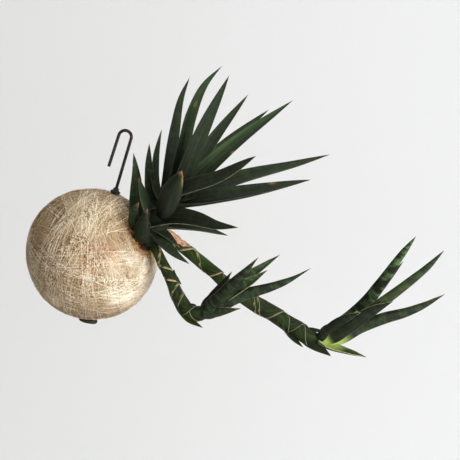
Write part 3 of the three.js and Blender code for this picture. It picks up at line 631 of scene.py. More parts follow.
def bed_finish():
    finish = Finish("fibre_bed", roughness=0.95, specular=0.15)
    place = finish.object_place()
    fibres = finish.noise(place, 420, 4, 0.65)
    finish.coloured(finish.banded(fibres, (0.3, "5a3f28"), (0.5, "84674a"), (0.72, "ab8f6a")))
    finish.bumped(finish.noise(place, 900, 4, 0.7), 0.8, 1.0)
    return finish.material


def fleck_finish():
    """Flecks. tone keeps each one's own place on the ramp from bark to moss."""
    finish = Finish("soil_flecks", roughness=0.95, specular=0.1)
    place = finish.object_place()
    pick, _, _ = finish.kept("tone")
    colour = finish.banded(pick, (0.0, "5a4029"), (0.45, "86603e"), (0.85, "ad865a"), (1.0, "5f6a45"))
    finish.coloured(finish.mixed(finish.noise(place, 1500, 2), colour, "a98460", "MULTIPLY"))
    return finish.material


def soil_finish():
    finish = Finish("damp_soil", roughness=0.95, specular=0.2)
    grains = finish.noise(finish.object_place(), 700, 5, 0.7)
    finish.coloured(finish.banded(grains, (0.3, "20150d"), (0.55, "4a3525"), (0.75, "6f573f")))
    finish.bumped(grains, 1.2, 1.0)
    return finish.material


def wire_finish():
    finish = Finish("dark_wire", roughness=0.42, metallic=0.75, specular=0.5)
    place = finish.object_place()
    worn = finish.noise(place, 480, 4, 0.6)
    finish.coloured(finish.banded(worn, (0.35, "1d1715"), (0.6, "332925"), (0.78, "54453a")))
    finish.roughened(worn, 0.34, 0.62)
    finish.bumped(finish.noise(place, 1500, 3), 0.06)
    return finish.material


def fitting_finish(name, dark, light):
    finish = Finish(name, roughness=0.75, metallic=0.35, specular=0.35)
    dust = finish.noise(finish.object_place(), 520, 4, 0.65)
    finish.coloured(finish.banded(dust, (0.35, dark), (0.6, light), (0.8, "7a6c4c")))
    finish.roughened(dust, 0.62, 0.9)
    finish.bumped(dust, 0.3)
    return finish.material


def leaf_finish(name, settings, mottle):
    """Leaf skin. place keeps about the millimetres to the margin and to the tip, and the share along; tone
    keeps how light the leaf is there, with painted shade towards its root and painted light on one side, how
    pale towards its base and how mottled; mark keeps scars, how strong the pale margin is and how far the tip
    is dried."""
    finish = Finish(name, roughness=0.5, specular=0.08)
    surface = finish.surface_place()
    rim, tip, _ = finish.kept("place")
    light, base, worn = finish.kept("tone")
    scar, margin, dry = finish.kept("mark")
    streaks = finish.noise(finish.stretched(surface, (46, 1.6, 1)), 1.0, 4, 0.6)
    fine = finish.noise(finish.stretched(surface, (130, 5, 1)), 1.0, 3, 0.6)
    shade = finish.plus(finish.times(light, 0.8), 0.02)
    shade = finish.plus(shade, finish.between(streaks, 0.3, 0.72, -0.14, 0.22))
    shade = finish.plus(shade, finish.between(fine, 0.3, 0.7, -0.05, 0.07))
    colour = finish.banded(
        shade, (0.0, settings.leaf_dark), (0.35, "21271c"), (0.65, "303c28"), (1.0, settings.leaf_light)
    )
    bands = finish.noise(finish.stretched(surface, (3.0, 20, 1)), 1.0, 2, 0.5, 0.5)
    strength = finish.plus(finish.times(worn, 0.6), mottle)
    colour = finish.mixed(finish.times(finish.between(bands, 0.42, 0.68), strength), colour, "5c7748")
    colour = finish.mixed(base, colour, "9db05a")
    broken = finish.between(finish.noise(finish.stretched(surface, (2, 14, 1)), 1.0, 2), 0.36, 0.55, 0.35, 1)
    edge = finish.times(finish.between(rim, 0.14, 0.36, 0.85, 0), broken)
    colour = finish.mixed(finish.times(edge, margin), colour, settings.margin_colour)
    near_tip = finish.between(finish.reckon("DIVIDE", tip, dry), 0.6, 3.2, 0.9, 0)
    colour = finish.mixed(near_tip, colour, "6d4a41")
    finish.coloured(finish.mixed(scar, colour, "8a7048"))
    finish.roughened(streaks, 0.44, 0.6)
    finish.bumped(streaks, 0.12, 0.4)
    return finish.material


def scale_finish(settings):
    """Runner scales. place keeps the millimetres to the margin first; tone keeps how light a scale is, how
    dry its edge is and how far its two edges have parted."""
    finish = Finish("runner_scale_skin", roughness=0.52, specular=0.08)
    surface = finish.surface_place()
    rim, _, _ = finish.kept("place")
    light, dry, parted = finish.kept("tone")
    streaks = finish.noise(finish.stretched(surface, (30, 2.4, 1)), 1.0, 4, 0.6)
    shade = finish.plus(light, finish.between(streaks, 0.3, 0.7, -0.15, 0.25))
    colour = finish.banded(shade, (0.0, "15180e"), (0.35, "1f2616"), (0.65, "31401c"), (1.0, "4f672d"))
    paper = finish.mixed(finish.noise(surface, 14, 3), "a8745a", "dcc39c")
    torn = finish.between(finish.noise(finish.stretched(surface, (3, 9, 1)), 1.0, 3), 0.42, 0.58)
    papery = finish.times(finish.between(rim, 1.2, 3.2, 1, 0), finish.times(torn, dry))
    colour = finish.mixed(papery, colour, paper)
    margin = finish.between(rim, 0.22, 0.5, 0.85, 0)
    finish.coloured(finish.mixed(finish.times(margin, parted), colour, settings.margin_colour))
    finish.bumped(streaks, 0.15, 0.5)
    return finish.material


def dry_finish(name, dark, middle, light):
    finish = Finish(name, roughness=0.9, specular=0.15)
    fibres = finish.noise(finish.stretched(finish.surface_place(), (40, 3, 1)), 1.0, 5, 0.7)
    colour = finish.banded(fibres, (0.3, dark), (0.52, middle), (0.74, light))
    blotches = finish.between(finish.noise(finish.object_place(), 260, 3), 0.5, 0.6, 0.0, 0.65)
    finish.coloured(finish.mixed(blotches, colour, dark))
    finish.bumped(fibres, 0.5, 0.9)
    return finish.material


def leaf_half(row, share):
    """Half the breadth of a leaf: a spear blade that runs out into a fine spine."""
    if "breadths" in row:
        at, breadths = zip(*row["breadths"])
        return 0.5 * float(np.interp(share, at, breadths))
    half = 0.5 * row["width"] * (1 - min(1.0, share / SPINE_FROM) ** row.get("taper", 2.2)) ** 0.9
    return max(half, SPINE_RADIUS * smooth_step(1.0, 0.9, share))


def blend(first, second, share):
    return first + (second - first) * share


def scarred(row, share, across):
    """How browned a leaf is at a place, from its scars: along, across, and how far each spreads."""
    total = 0.0
    for at, to_side, long, broad in row.get("scars", ()):
        total += math.exp(-(((share - at) / long) ** 2) - ((across - to_side) / broad) ** 2)
    return min(1.0, total)


def leaf(body, row, axis, base=0.0, around=24, along=40):
    """One channelled leaf whose root may clasp the stem, with a keel, soft edges and a spine."""
    path = Path(row["rib"])
    facing = Vector(row["facing"]) if "facing" in row else axis
    luck = random.Random(str(row["rib"]))
    phase, light = luck.uniform(0, 6.3), row.get("light", 0.4) + luck.uniform(-0.05, 0.05)
    worn, clasp = row.get("mottle", luck.uniform(0, 0.12)), row.get("clasp", 0)
    margin, dry_tip = row.get("margin", luck.uniform(0.0, 0.22)), row.get("dry_tip", 1.8)
    fold, painted_side_light = row.get("fold", 1.05 if "breadths" in row else 0.72), row.get("painted_side_light", 0)
    pale, pale_to, outer_pale = row.get("pale", base), row.get("pale_to", 0.18), row.get("outer_pale", 1)

    def shape(turn, share):
        share = 1 - (1 - share) ** 1.2
        centre, tangent = path.at(share)
        side, up = axes_at(tangent, facing)
        half, across, thick = leaf_half(row, share), math.cos(turn), math.sin(turn)
        hold = smooth_step(0.3, 0.0, share) if clasp else 0.0
        girth = clasp * (0.84 + 0.16 * smooth_step(0, 0.2, share))
        bend = blend(fold - 0.35 * share + 0.5 * smooth_step(0.25, 0.0, share), CLASP_FOLD, hold)
        reach = blend(half * bend / math.sin(bend), girth * CLASP_FOLD, hold)
        radius, angle = reach / bend, bend * across
        wave = 0.2 * math.sin(15 * share + phase + 2 * across) * smooth_step(0.1, 0.4, share) * (1 - share)
        depth = min(0.35, half) if thick > 0 else -max(min(0.4, half), blend(0.34 * half, 0.9, hold))
        deep = radius - depth * abs(thick)
        right = deep * math.sin(angle)
        over = radius - deep * math.cos(angle) - girth * hold + wave * abs(across)
        rim, tip = reach * (1 - abs(across)) / (0.6 + 0.9 * margin), (1 - share) * path.length
        lift = 0.1 + 0.15 * light if thick > 0 else 0.0
        # Painted shade towards the root, and painted light on one side of the keel with painted shade on the
        # other
        shade = (light + lift) * (0.35 + 0.65 * smooth_step(0, 0.5, share)) + painted_side_light * across
        rooted = pale * smooth_step(pale_to, 0.4 * pale_to, share) * (outer_pale if thick < 0 else 1)
        # The bands are stronger on the side with painted light
        mottled = worn * (1 + 4 * painted_side_light * across) if painted_side_light else worn
        return (
            centre + side * right + up * over,
            Vector((rim, tip, share)),
            Vector((max(0, shade), rooted, mottled)),
            Vector((scarred(row, share, across), margin, dry_tip)),
        )

    body.rolled(around, along, shape)


def radius_at(rows, step):
    return float(np.interp(step * (len(rows) - 1), range(len(rows)), [radius for _, radius in rows]))


def stem(body, rows, shrink=1.0, light=0.3, base=0.0):
    """A round stem. It keeps a place that is far from any margin or tip."""
    path = Path([at for at, _ in rows], CENTRIPETAL)

    def shape(turn, share):
        point = on_ring(*path.at_step(share), TOWARDS_CAMERA, turn, shrink * radius_at(rows, share))
        return point, Vector((9, 30, share)), Vector((light, base, 0)), Vector((0, 0, 1))

    body.rolled(24, 40, shape)


def scale(body, rows, start, end, turn_to, light, dry):
    """One pointed scale that clasps a runner and stands a little off it towards its tip."""
    path = Path([at for at, _ in rows], CENTRIPETAL)
    length, middle = (end - start) * path.length, math.radians(turn_to)
    pointed = min(length, SCALE_POINT)

    def shape(turn, share):
        step = start + (end - start) * share
        point_share = max(0.0, 1 - (1 - share) * length / pointed)
        spread = SCALE_WRAP * (1 - point_share**1.3)
        radius = radius_at(rows, step) - 0.45 + 0.85 * share + 0.24 * math.sin(turn)
        radius += 0.12 * math.cos(turn) * smooth_step(0.6, 0.1, share)
        rim = spread * (1 - abs(math.cos(turn))) * radius
        point = on_ring(*path.at_step(step), TOWARDS_CAMERA, middle + spread * math.cos(turn), radius)
        parted = smooth_step(188, 176, math.degrees(spread))
        return point, Vector((rim, (1 - share) * length, share)), Vector((light, dry, parted)), Vector()

    body.rolled(36, 30, shape)


def runner(name, rows, scales, free_scales, facing, material):
    body = Body()
    stem(body, rows, shrink=0.86, light=0.35)
    for row in scales:
        scale(body, rows, *row)
    for row in free_scales:
        leaf(body, row, facing, around=20, along=24)
    return body.finished(name, material, "runner_scale", (name,))


def rosette(name, rows, leaves, axis, base, material):
    body = Body()
    stem(body, rows, shrink=0.72, light=0.5, base=base)
    for row in leaves:
        leaf(body, row, axis, base=base)
    return body.finished(name, material, "rosette_leaf", (name,))


def lumpiness(directions):
    """How far the ball's form stands off a true sphere, in each direction."""
    total = np.zeros(len(directions))
    for axis, pace, phase in LUMPS:
        axis = np.array(axis) / np.linalg.norm(axis)
        total += LUMP_HEIGHT * np.cos(pace * (directions @ axis) + phase)
    for axis, height in BULGES:
        axis = np.array(axis) / np.linalg.norm(axis)
        total += height * np.clip(directions @ axis, 0, 1) ** 6
    return total


def pushed_aside(directions, axis, opening, soft):
    """Bends directions smoothly away from an opening round an axis."""
    axis = np.array(axis)
    cosine = np.clip(directions @ axis, -1, 1)
    angle = np.arccos(cosine)
    outward = directions - cosine[:, None] * axis
    outward /= np.maximum(np.linalg.norm(outward, axis=1), 1e-9)[:, None]
    wider = (angle**soft + opening**soft) ** (1 / soft)
    return np.cos(wider)[:, None] * axis + np.sin(wider)[:, None] * outward


def near_face(across, up):
    return Vector((across, -math.sqrt(max(0.0, 1 - across * across - up * up)), up))


def wire_place():
    """Where the wire's middle line runs: the leg, the bend, the shank and the buried stretch."""
    tip = math.radians(HOOK_TIP_FORWARD)
    across, upward = Vector((1, 0, 0)), Vector((0, -math.sin(tip), math.cos(tip)))
    middle = upward * (WIRE_RADIUS - BEND_RADIUS)

    def on_bend(degrees):
        angle = math.radians(degrees)
        return across * math.cos(angle) + upward * math.sin(angle)

    shank_down, buried_down = on_bend(-SHANK_LEAN - 90), on_bend(-BURIED_LEAN - 90)
    shank_top = middle + on_bend(-SHANK_LEAN) * BEND_RADIUS
    leg_top = middle + on_bend(180 - SHORT_LEG_LEAN) * BEND_RADIUS
    leg_end = leg_top + on_bend(270 - SHORT_LEG_LEAN) * SHORT_LEG_LENGTH
    collar = crossing(shank_top, shank_down, BALL_RADIUS + 0.5, -1)
    plate = crossing(collar, buried_down, BALL_RADIUS + 0.3, 1)
    return {
        "middle": middle,
        "on_bend": on_bend,
        "leg_end": leg_end,
        "leg_top": leg_top,
        "shank_top": shank_top,
        "shank_down": shank_down,
        "buried_down": buried_down,
        "collar": collar,
        "plate": plate,
        "end": plate + buried_down * (PLATE_THICKNESS + 0.8),
    }


def crossing(start, direction, radius, sign):
    """Where a line meets a sphere round the ball's centre, on its near or its far side."""
    gap = BALL_CENTRE - start
    along = gap.dot(direction)
    return start + direction * (along + sign * math.sqrt(radius**2 - (gap.length_squared - along**2)))


WIRE = wire_place()
TOP_HOLE = (WIRE["collar"] - BALL_CENTRE).normalized()
BOTTOM_HOLE = (WIRE["plate"] - BALL_CENTRE).normalized()
FOOT_SIDE, FOOT_UP = axes_at(FOOT_DIRECTION, TOWARDS_CAMERA)


def outward(angle):
    """A direction away from the middle of the crown's foot, along the ball."""
    return FOOT_SIDE * math.cos(angle) + FOOT_UP * math.sin(angle)


def spun(mesh, geometry, steps):
    bmesh.ops.spin(
        mesh, geom=geometry, cent=(0, 0, 0), axis=(0, 0, 1), angle=2 * math.pi, steps=steps, use_merge=True
    )


def spun_outline(mesh, outline, steps, closed):
    """Spins an outline of radii and heights about the upright axis."""
    verts = [mesh.verts.new((radius, 0, height)) for radius, height in outline]
    for first, second in zip(verts, verts[1:] + verts[:1] if closed else verts[1:]):
        mesh.edges.new((first, second))
    spun(mesh, mesh.verts[:] + mesh.edges[:], steps)


def template_turn():
    """A ring of thread of radius one, spun from a small three-sided section."""
    mesh = bmesh.new()
    stand = Matrix.Translation((1, 0, 0)) @ Matrix.Rotation(math.pi / 2, 4, "X")
    section = bmesh.ops.create_circle(mesh, segments=3, radius=1 / TEMPLATE_SCALE, matrix=stand)
    spun(mesh, section["verts"] + list(mesh.edges), THREAD_STEPS)
    data = bpy.data.meshes.new("turn_template")
    bmesh.ops.recalc_face_normals(mesh, faces=mesh.faces)
    mesh.to_mesh(data)
    mesh.free()
    return data


def thread_turns(name, turns, thread_radius, material):
    """Many turns of thread as one mesh. Each turn is a pole, a height, a paleness and a thickness."""
    template = template_turn()
    ring = np.zeros(len(template.vertices) * 3)
    template.vertices.foreach_get("co", ring)
    ring = ring.reshape(-1, 3)
    angle = np.arctan2(ring[:, 1], ring[:, 0])
    out, over = np.hypot(ring[:, 0], ring[:, 1]) - 1, ring[:, 2]
    mesh = bmesh.new()
    mesh.verts.layers.float_vector.new("tone")
    for _ in turns:
        mesh.from_mesh(template)
    places, tones = [], []
    luck = np.random.default_rng(len(turns))

    def wave(height, pace):
        return height * np.sin(pace * angle + luck.uniform(0, ANY_PHASE))

    for pole, layer, pale, thickness in turns:
        start = pole.orthogonal().normalized()
        ahead = np.array(pole.cross(start))
        start, pole = np.array(start), np.array(pole)
        stray = sum(wave(luck.normal(0, THREAD_STRAY), pace) for pace in (1, 2, 3))
        heading = np.cos(angle)[:, None] * start + np.sin(angle)[:, None] * ahead + stray[:, None] * pole
        heading /= np.linalg.norm(heading, axis=1)[:, None]
        heading = pushed_aside(heading, FOOT_DIRECTION, CROWN_OPENING + abs(luck.normal(0, 0.02)), 3.2)
        for hole in (TOP_HOLE, BOTTOM_HOLE):
            heading = pushed_aside(heading, hole, WIRE_OPENING, 3.0)
        lip = np.clip((heading @ np.array(FOOT_DIRECTION) - math.cos(CROWN_OPENING + 0.16)) / 0.045, 0, 1)
        height = BALL_RADIUS + layer + lumpiness(heading) - LIP_DEPTH * lip**2
        height += wave(0.1, 5) + wave(0.06, 13)
        stout = TEMPLATE_SCALE * thread_radius * thickness
        point = heading * (height + stout * out)[:, None] + pole * (stout * over)[:, None]
        places.append((point + np.array(BALL_CENTRE)) * MM)
        shade = np.clip(pale + luck.normal(0, 0.07) + wave(0.05, 3), 0, 1)
        tones.append(np.column_stack((shade, np.full(len(angle), luck.uniform()), np.zeros(len(angle)))))
    piece = finished(mesh, name, material, ("thread_wrap",))
    piece.data.vertices.foreach_set("co", np.concatenate(places).ravel())
    piece.data.attributes["tone"].data.foreach_set("vector", np.concatenate(tones).ravel())
    piece.data.update()
    bpy.data.meshes.remove(template)
    return piece


def turned(name, outline, place, down, steps, material, node):
    """A fitting spun about the wire, with its sharp edges softened."""
    mesh = bmesh.new()
    spun_outline(mesh, [(radius * MM, height * MM) for radius, height in outline], steps, closed=True)
    bmesh.ops.recalc_face_normals(mesh, faces=mesh.faces)
    rings = [e for e in mesh.edges if e.calc_face_angle(0) > 0.5]
    bmesh.ops.bevel(
        mesh, geom=rings, offset=SOFT_EDGE * MM, segments=2, profile=0.5, material=-1, affect="EDGES"
    )
    turn = UPWARDS.rotation_difference(-down).to_matrix().to_4x4()
    bmesh.ops.transform(mesh, verts=mesh.verts, matrix=Matrix.Translation(place * MM) @ turn)
    return finished(mesh, name, material, (node,))


def hair(body, rib, radius, tone):
    """A short tapered end of thread or root."""
    path = Path(rib)

    def shape(turn, share):
        point = on_ring(*path.at(share), HAIR_FACING, turn, radius * (1 - 0.8 * share))
        return point, Vector(), Vector((tone, 0, 0)), Vector()

    body.rolled(4, 6, shape)


def stage_finish():
    """A pale matt paint, a little darker in front and to the left as painted shade."""
    finish = Finish("pale_studio", roughness=0.9, specular=0.05)
    across, away, _ = finish.parts(finish.object_place())
    # Painted shade: darker towards the front and on the left, lighter behind and on the right
    colour = finish.mixed(finish.between(away, -1.6, 1.6), "c2c2c2", "f5f5f5")
    side = finish.between(across, -1.0, 1.0, 0.8, 0)
    finish.coloured(finish.mixed(side, colour, "e2e1df", "MULTIPLY"))
    return finish.material


def tint(name, description, code):
    """A colour that a user may change."""
    return bpy.props.FloatVectorProperty(
        name=name, description=description, default=linear(code), subtype="COLOR"
    )


def number_of(name, description, default, low, high):
    """A count that a user may change."""
    return bpy.props.IntProperty(name=name, description=description, default=default, min=low, max=high)


class KokedamaBall(bpy.types.PropertyGroup):
    """Sizes and colours of the wound ball"""

    thread_radius: bpy.props.FloatProperty(
        name="Thread radius",
        description="Half the thread's thickness",
        default=0.185 * MM,
        min=0.1 * MM,
        unit="LENGTH",
    )
    under_hanks: number_of("Under hanks", "Hanks of thread in the lower layer", 84, 5, 120)
    upper_hanks: number_of("Upper hanks", "Hanks of thread in the upper layer", 110, 5, 120)
    flecks: number_of("Flecks", "Bits of soil and moss caught in the thread", 1300, 0, 3000)
    thread_pale: tint("Palest thread", "Colour of the palest turns", "f6ead0")


class KokedamaPlant(bpy.types.PropertyGroup):
    """Colours of the leaves and runners"""

    leaf_dark: tint("Leaf shade", "Colour of the darkest leaves", "12150d")
    leaf_light: tint("Leaf light", "Colour of the brightest leaves", "4f6640")
    margin_colour: tint("Margin", "Colour of the leaf and scale margins", "a9a983")


class KokedamaStage(bpy.types.PropertyGroup):
    """The studio"""

    key_power: bpy.props.FloatProperty(
        name="Key light", description="Power of the soft light on the right", default=34, min=0, unit="POWER"
    )
    fill_power: bpy.props.FloatProperty(
        name="Fill light", description="Power of the soft light overhead", default=6, min=0, unit="POWER"
    )
    room_light: bpy.props.FloatProperty(
        name="Room light", description="Strength of the light from all round", default=1.27, min=0
    )


class KOKEDAMA_OT_stage(bpy.types.Operator):
    """Makes the pale studio, its soft lights and the camera"""

    bl_idname = "kokedama.stage"
    bl_label = "Stage"

    def execute(self, context):
        settings = context.scene.kokedama_stage
        self.floor()
        self.camera(context)
        self.light("key", (1.02, -1.05, -0.36), 0.9, settings.key_power)
        self.light("fill", (-0.2, -0.4, 1.7), 2.2, settings.fill_power)
        world = bpy.data.worlds.new("room")
        context.scene.world = world
        world.use_nodes = True
        background = world.node_tree.nodes["Background"]
        background.inputs["Color"].default_value = (*linear("f4f5f6"), 1)
        background.inputs["Strength"].default_value = settings.room_light
        context.scene.view_settings.view_transform = "Standard"
        return {"FINISHED"}

    def floor(self):
        """A floor that sweeps up all round into a wall."""
        mesh = bmesh.new()
        floor_end = STAGE_RADIUS - FLOOR_SWEEP
        outline = [(0.0, 0.0), (floor_end, 0.0)]
        for angle in np.linspace(0.08, math.pi / 2, 16):
            outline.append((floor_end + FLOOR_SWEEP * math.sin(angle), FLOOR_SWEEP * (1 - math.cos(angle))))
        outline.append((STAGE_RADIUS, WALL_HEIGHT))
        spun_outline(mesh, [(radius, height + FLOOR_HEIGHT) for radius, height in outline], 96, closed=False)
        bmesh.ops.remove_doubles(mesh, verts=mesh.verts, dist=1e-5)
        bmesh.ops.recalc_face_normals(mesh, faces=mesh.faces)
        bmesh.ops.reverse_faces(mesh, faces=mesh.faces)
        data = bpy.data.meshes.new("studio_floor")
        mesh.to_mesh(data)
        mesh.free()
        data.polygons.foreach_set("use_smooth", [True] * len(data.polygons))
        data.materials.append(stage_finish())
        floor = bpy.data.objects.new("studio_floor", data)
        bpy.context.scene.collection.objects.link(floor)

    def camera(self, context):
        data = bpy.data.cameras.new("camera")
        data.sensor_width = SENSOR
        data.lens = SENSOR / 2 / math.tan(FIELD_OF_VIEW / 2)
        camera = bpy.data.objects.new("camera", data)
        camera.location = CAMERA_PLACE
        camera.rotation_euler = (math.pi / 2, 0, 0)
        context.scene.collection.objects.link(camera)
        context.scene.camera = camera

    def light(self, name, place, size, power):
        data = bpy.data.lights.new(name, "AREA")
        data.size = size
        data.energy = power
        lamp = bpy.data.objects.new(name, data)
        lamp.visible_camera = False
        lamp.location = place
        lamp.rotation_euler = (LIGHTS_AIM - lamp.location).to_track_quat("-Z", "Y").to_euler()
        bpy.context.scene.collection.objects.link(lamp)


class KOKEDAMA_OT_soil(bpy.types.Operator):
    """Gives the soil under the thread its crumbly finish"""

    bl_idname = "kokedama.soil"
    bl_label = "Soil"

    def execute(self, context):
        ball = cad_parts["soil_ball"]
        ball.data.materials.clear()
        ball.data.materials.append(soil_finish())
        return {"FINISHED"}


class KOKEDAMA_OT_thread(bpy.types.Operator):
    """Winds the ball: a bed of fibre, the lower turns and the bundles over them"""

    bl_idname = "kokedama.thread"
    bl_label = "Thread"

    def execute(self, context):
        settings = context.scene.kokedama_ball
        self.bed()
        material = thread_finish(settings)
        radius = settings.thread_radius / MM
        luck = random.Random(THREAD_SEED)
        # The lower turns are darker than the upper ones: painted shade in the gaps under the upper turns
        turns = self.hanks(luck, settings.under_hanks, low=-0.8, high=-0.15, pale=0.38, fanned=0.0)
        turns += self.hanks(luck, settings.upper_hanks, low=-0.3, high=0.25, pale=0.54, fanned=0.7)
        turns += self.bundles(luck)
        for i in range(THREAD_PIECES):
            thread_turns(f"thread_turns_{i + 1}", turns[i::THREAD_PIECES], radius, material)
        return {"FINISHED"}

    def hanks(self, luck, count, low, high, pale, fanned):
        """Turns that lie in loose hanks, as a hand winds them. A share of them fans out from the top."""
        turns = []
        for _ in range(count):
            pole = scattered(luck, 1).normalized()
            if luck.random() < fanned:
                above = near_face(luck.uniform(-0.2, 0.35), luck.uniform(0.5, 0.85))
                pole = above.cross(near_face(luck.uniform(-0.75, 0.6), luck.uniform(-0.7, -0.3))).normalized()
            layer, shade = luck.uniform(low, high), pale + luck.gauss(0, 0.13)
            for _ in range(HANK):
                strayed = (pole + scattered(luck, 0.05)).normalized()
                turns.append((strayed, layer + luck.uniform(-0.15, 0.15), shade, 1.0))
        return turns

    def bundles(self, luck):
        """The turns that the table lays across the near face."""
        turns = []
        for first, second, stray, count, pale in THREAD_BUNDLES:
            for _ in range(count):
                ends = [near_face(*end) + scattered(luck, stray) for end in (first, second)]
                pole = ends[0].cross(ends[1]).normalized()
                layer, shade = luck.uniform(0.0, 0.45), pale + luck.gauss(0.02, 0.08)
                turns.append((pole, layer, shade, luck.uniform(1.0, 1.55)))
        return turns

    def bed(self):
        """A shell of fibre under the thread, open for crown and wire, its rims drawn in to the soil."""
        mesh = bmesh.new()
        bmesh.ops.create_icosphere(mesh, subdivisions=6, radius=1.0)
        gone = [v for v in mesh.verts if v.co.angle(FOOT_DIRECTION) < CROWN_OPENING - 0.02]
        for hole in (TOP_HOLE, BOTTOM_HOLE):
            gone += [v for v in mesh.verts if v.co.angle(hole) < WIRE_OPENING * 0.8]
        bmesh.ops.delete(mesh, geom=list(set(gone)), context="VERTS")
        headings = np.array([tuple(v.co.normalized()) for v in mesh.verts])
        for vert, heading, lump in zip(mesh.verts, headings, lumpiness(headings)):
            vert.co = (BALL_CENTRE + Vector(heading) * (BALL_RADIUS - BED_DEPTH + lump)) * MM
        rim = [e for e in mesh.edges if e.is_boundary]
        wall = bmesh.ops.extrude_edge_only(mesh, edges=rim)["geom"]
        centre, inwards = BALL_CENTRE * MM, (SOIL_RADIUS - 0.2) / (BALL_RADIUS - BED_DEPTH)
        for vert in (v for v in wall if isinstance(v, bmesh.types.BMVert)):
            vert.co = centre + (vert.co - centre) * inwards
        bmesh.ops.recalc_face_normals(mesh, faces=mesh.faces)
        finished(mesh, "fibre_bed", bed_finish(), ("thread_wrap",))


class KOKEDAMA_OT_flecks(bpy.types.Operator):
    """Scatters the bits of soil and moss that are caught in the thread"""

    bl_idname = "kokedama.flecks"
    bl_label = "Flecks"

    def execute(self, context):
        luck = random.Random(FLECK_SEED)
        body = Body()
        mesh, wanted = body.mesh, context.scene.kokedama_ball.flecks
        while wanted:
            heading = scattered(luck, 1).normalized()
            low, left = smooth_step(0.75, 0.1, heading.z), smooth_step(0.9, 0.2, heading.x - 0.5 * heading.z)
            crowd = 0.25 + 0.75 * low * left
            if heading.angle(FOOT_DIRECTION) < CROWN_OPENING + 0.03 or luck.random() > crowd:
                continue
            wanted -= 1
            size = luck.uniform(0.2, 0.52) * MM
            lump = float(lumpiness(np.array([tuple(heading)]))[0])
            spot = (BALL_CENTRE + heading * (BALL_RADIUS + lump + luck.uniform(0.0, 0.5))) * MM
            lie = UPWARDS.rotation_difference(heading).to_matrix().to_4x4()
            squash = Matrix.Diagonal((luck.uniform(0.9, 2.4), luck.uniform(0.7, 1.1), 0.55, 1))
            turn = Matrix.Rotation(luck.uniform(0, math.pi), 4, "Z")
            made = bmesh.ops.create_icosphere(
                mesh, subdivisions=1, radius=size, matrix=Matrix.Translation(spot) @ lie @ turn @ squash
            )
            pick = luck.random()
            for vert in made["verts"]:
                vert[body.tone] = Vector((pick, 0, 0))
        body.finished("soil_flecks", fleck_finish(), "soil", ())
        return {"FINISHED"}


class KOKEDAMA_OT_hook(bpy.types.Operator):
    """Bends the wire and turns the collar and the plate on it"""

    bl_idname = "kokedama.hook"
    bl_label = "Hook"

    def execute(self, context):
        middle, on_bend = WIRE["middle"], WIRE["on_bend"]
        line = [WIRE["leg_end"].lerp(WIRE["leg_top"], i / 10) for i in range(10)]
        for degrees in np.linspace(180 - SHORT_LEG_LEAN, -SHANK_LEAN, 40):
            line.append(middle + on_bend(degrees) * BEND_RADIUS)
        line += [WIRE["shank_top"].lerp(WIRE["collar"], i / 16) for i in range(1, 16)]
        line += [WIRE["collar"].lerp(WIRE["end"], i / 20) for i in range(21)]
        path = Path(line, smooth=False)
        body = Body()

        def shape(turn, share):
            radius = WIRE_RADIUS * (1 - 0.12 * smooth_step(0.006, 0.0, share))
            return on_ring(*path.at(share), TOWARDS_CAMERA, turn, radius), Vector(), Vector(), Vector()

        body.rolled(20, 150, shape)
        body.finished("hook_wire", wire_finish(), "wire", ("hook_rod",))
        collar_skin = fitting_finish("collar_finish", "1e170e", "382e1e")
        turned("wire_collar", COLLAR, WIRE["collar"], WIRE["shank_down"], 40, collar_skin, "top_collar")
        under = WIRE["plate"] + WIRE["buried_down"] * PLATE_THICKNESS
        plate_skin = fitting_finish("plate_finish", "17150f", "302c20")
        turned("wire_plate", PLATE, under, WIRE["buried_down"], 56, plate_skin, "bottom_plate")
        return {"FINISHED"}


class KOKEDAMA_OT_crown(bpy.types.Operator):
    """Models the crown's stem and its stiff leaves"""

    bl_idname = "kokedama.crown"
    bl_label = "Crown"

    def execute(self, context):
        material = leaf_finish("crown_leaf_skin", context.scene.kokedama_plant, 0.03)
        body = Body()
        stem(body, CROWN_STEM, light=0.15)
        for row in CROWN_LEAVES:
            leaf(body, row, CROWN_AXIS, around=28, along=48)
        body.finished("crown_leaves", material, "crown_leaf", ("crown",))
        return {"FINISHED"}


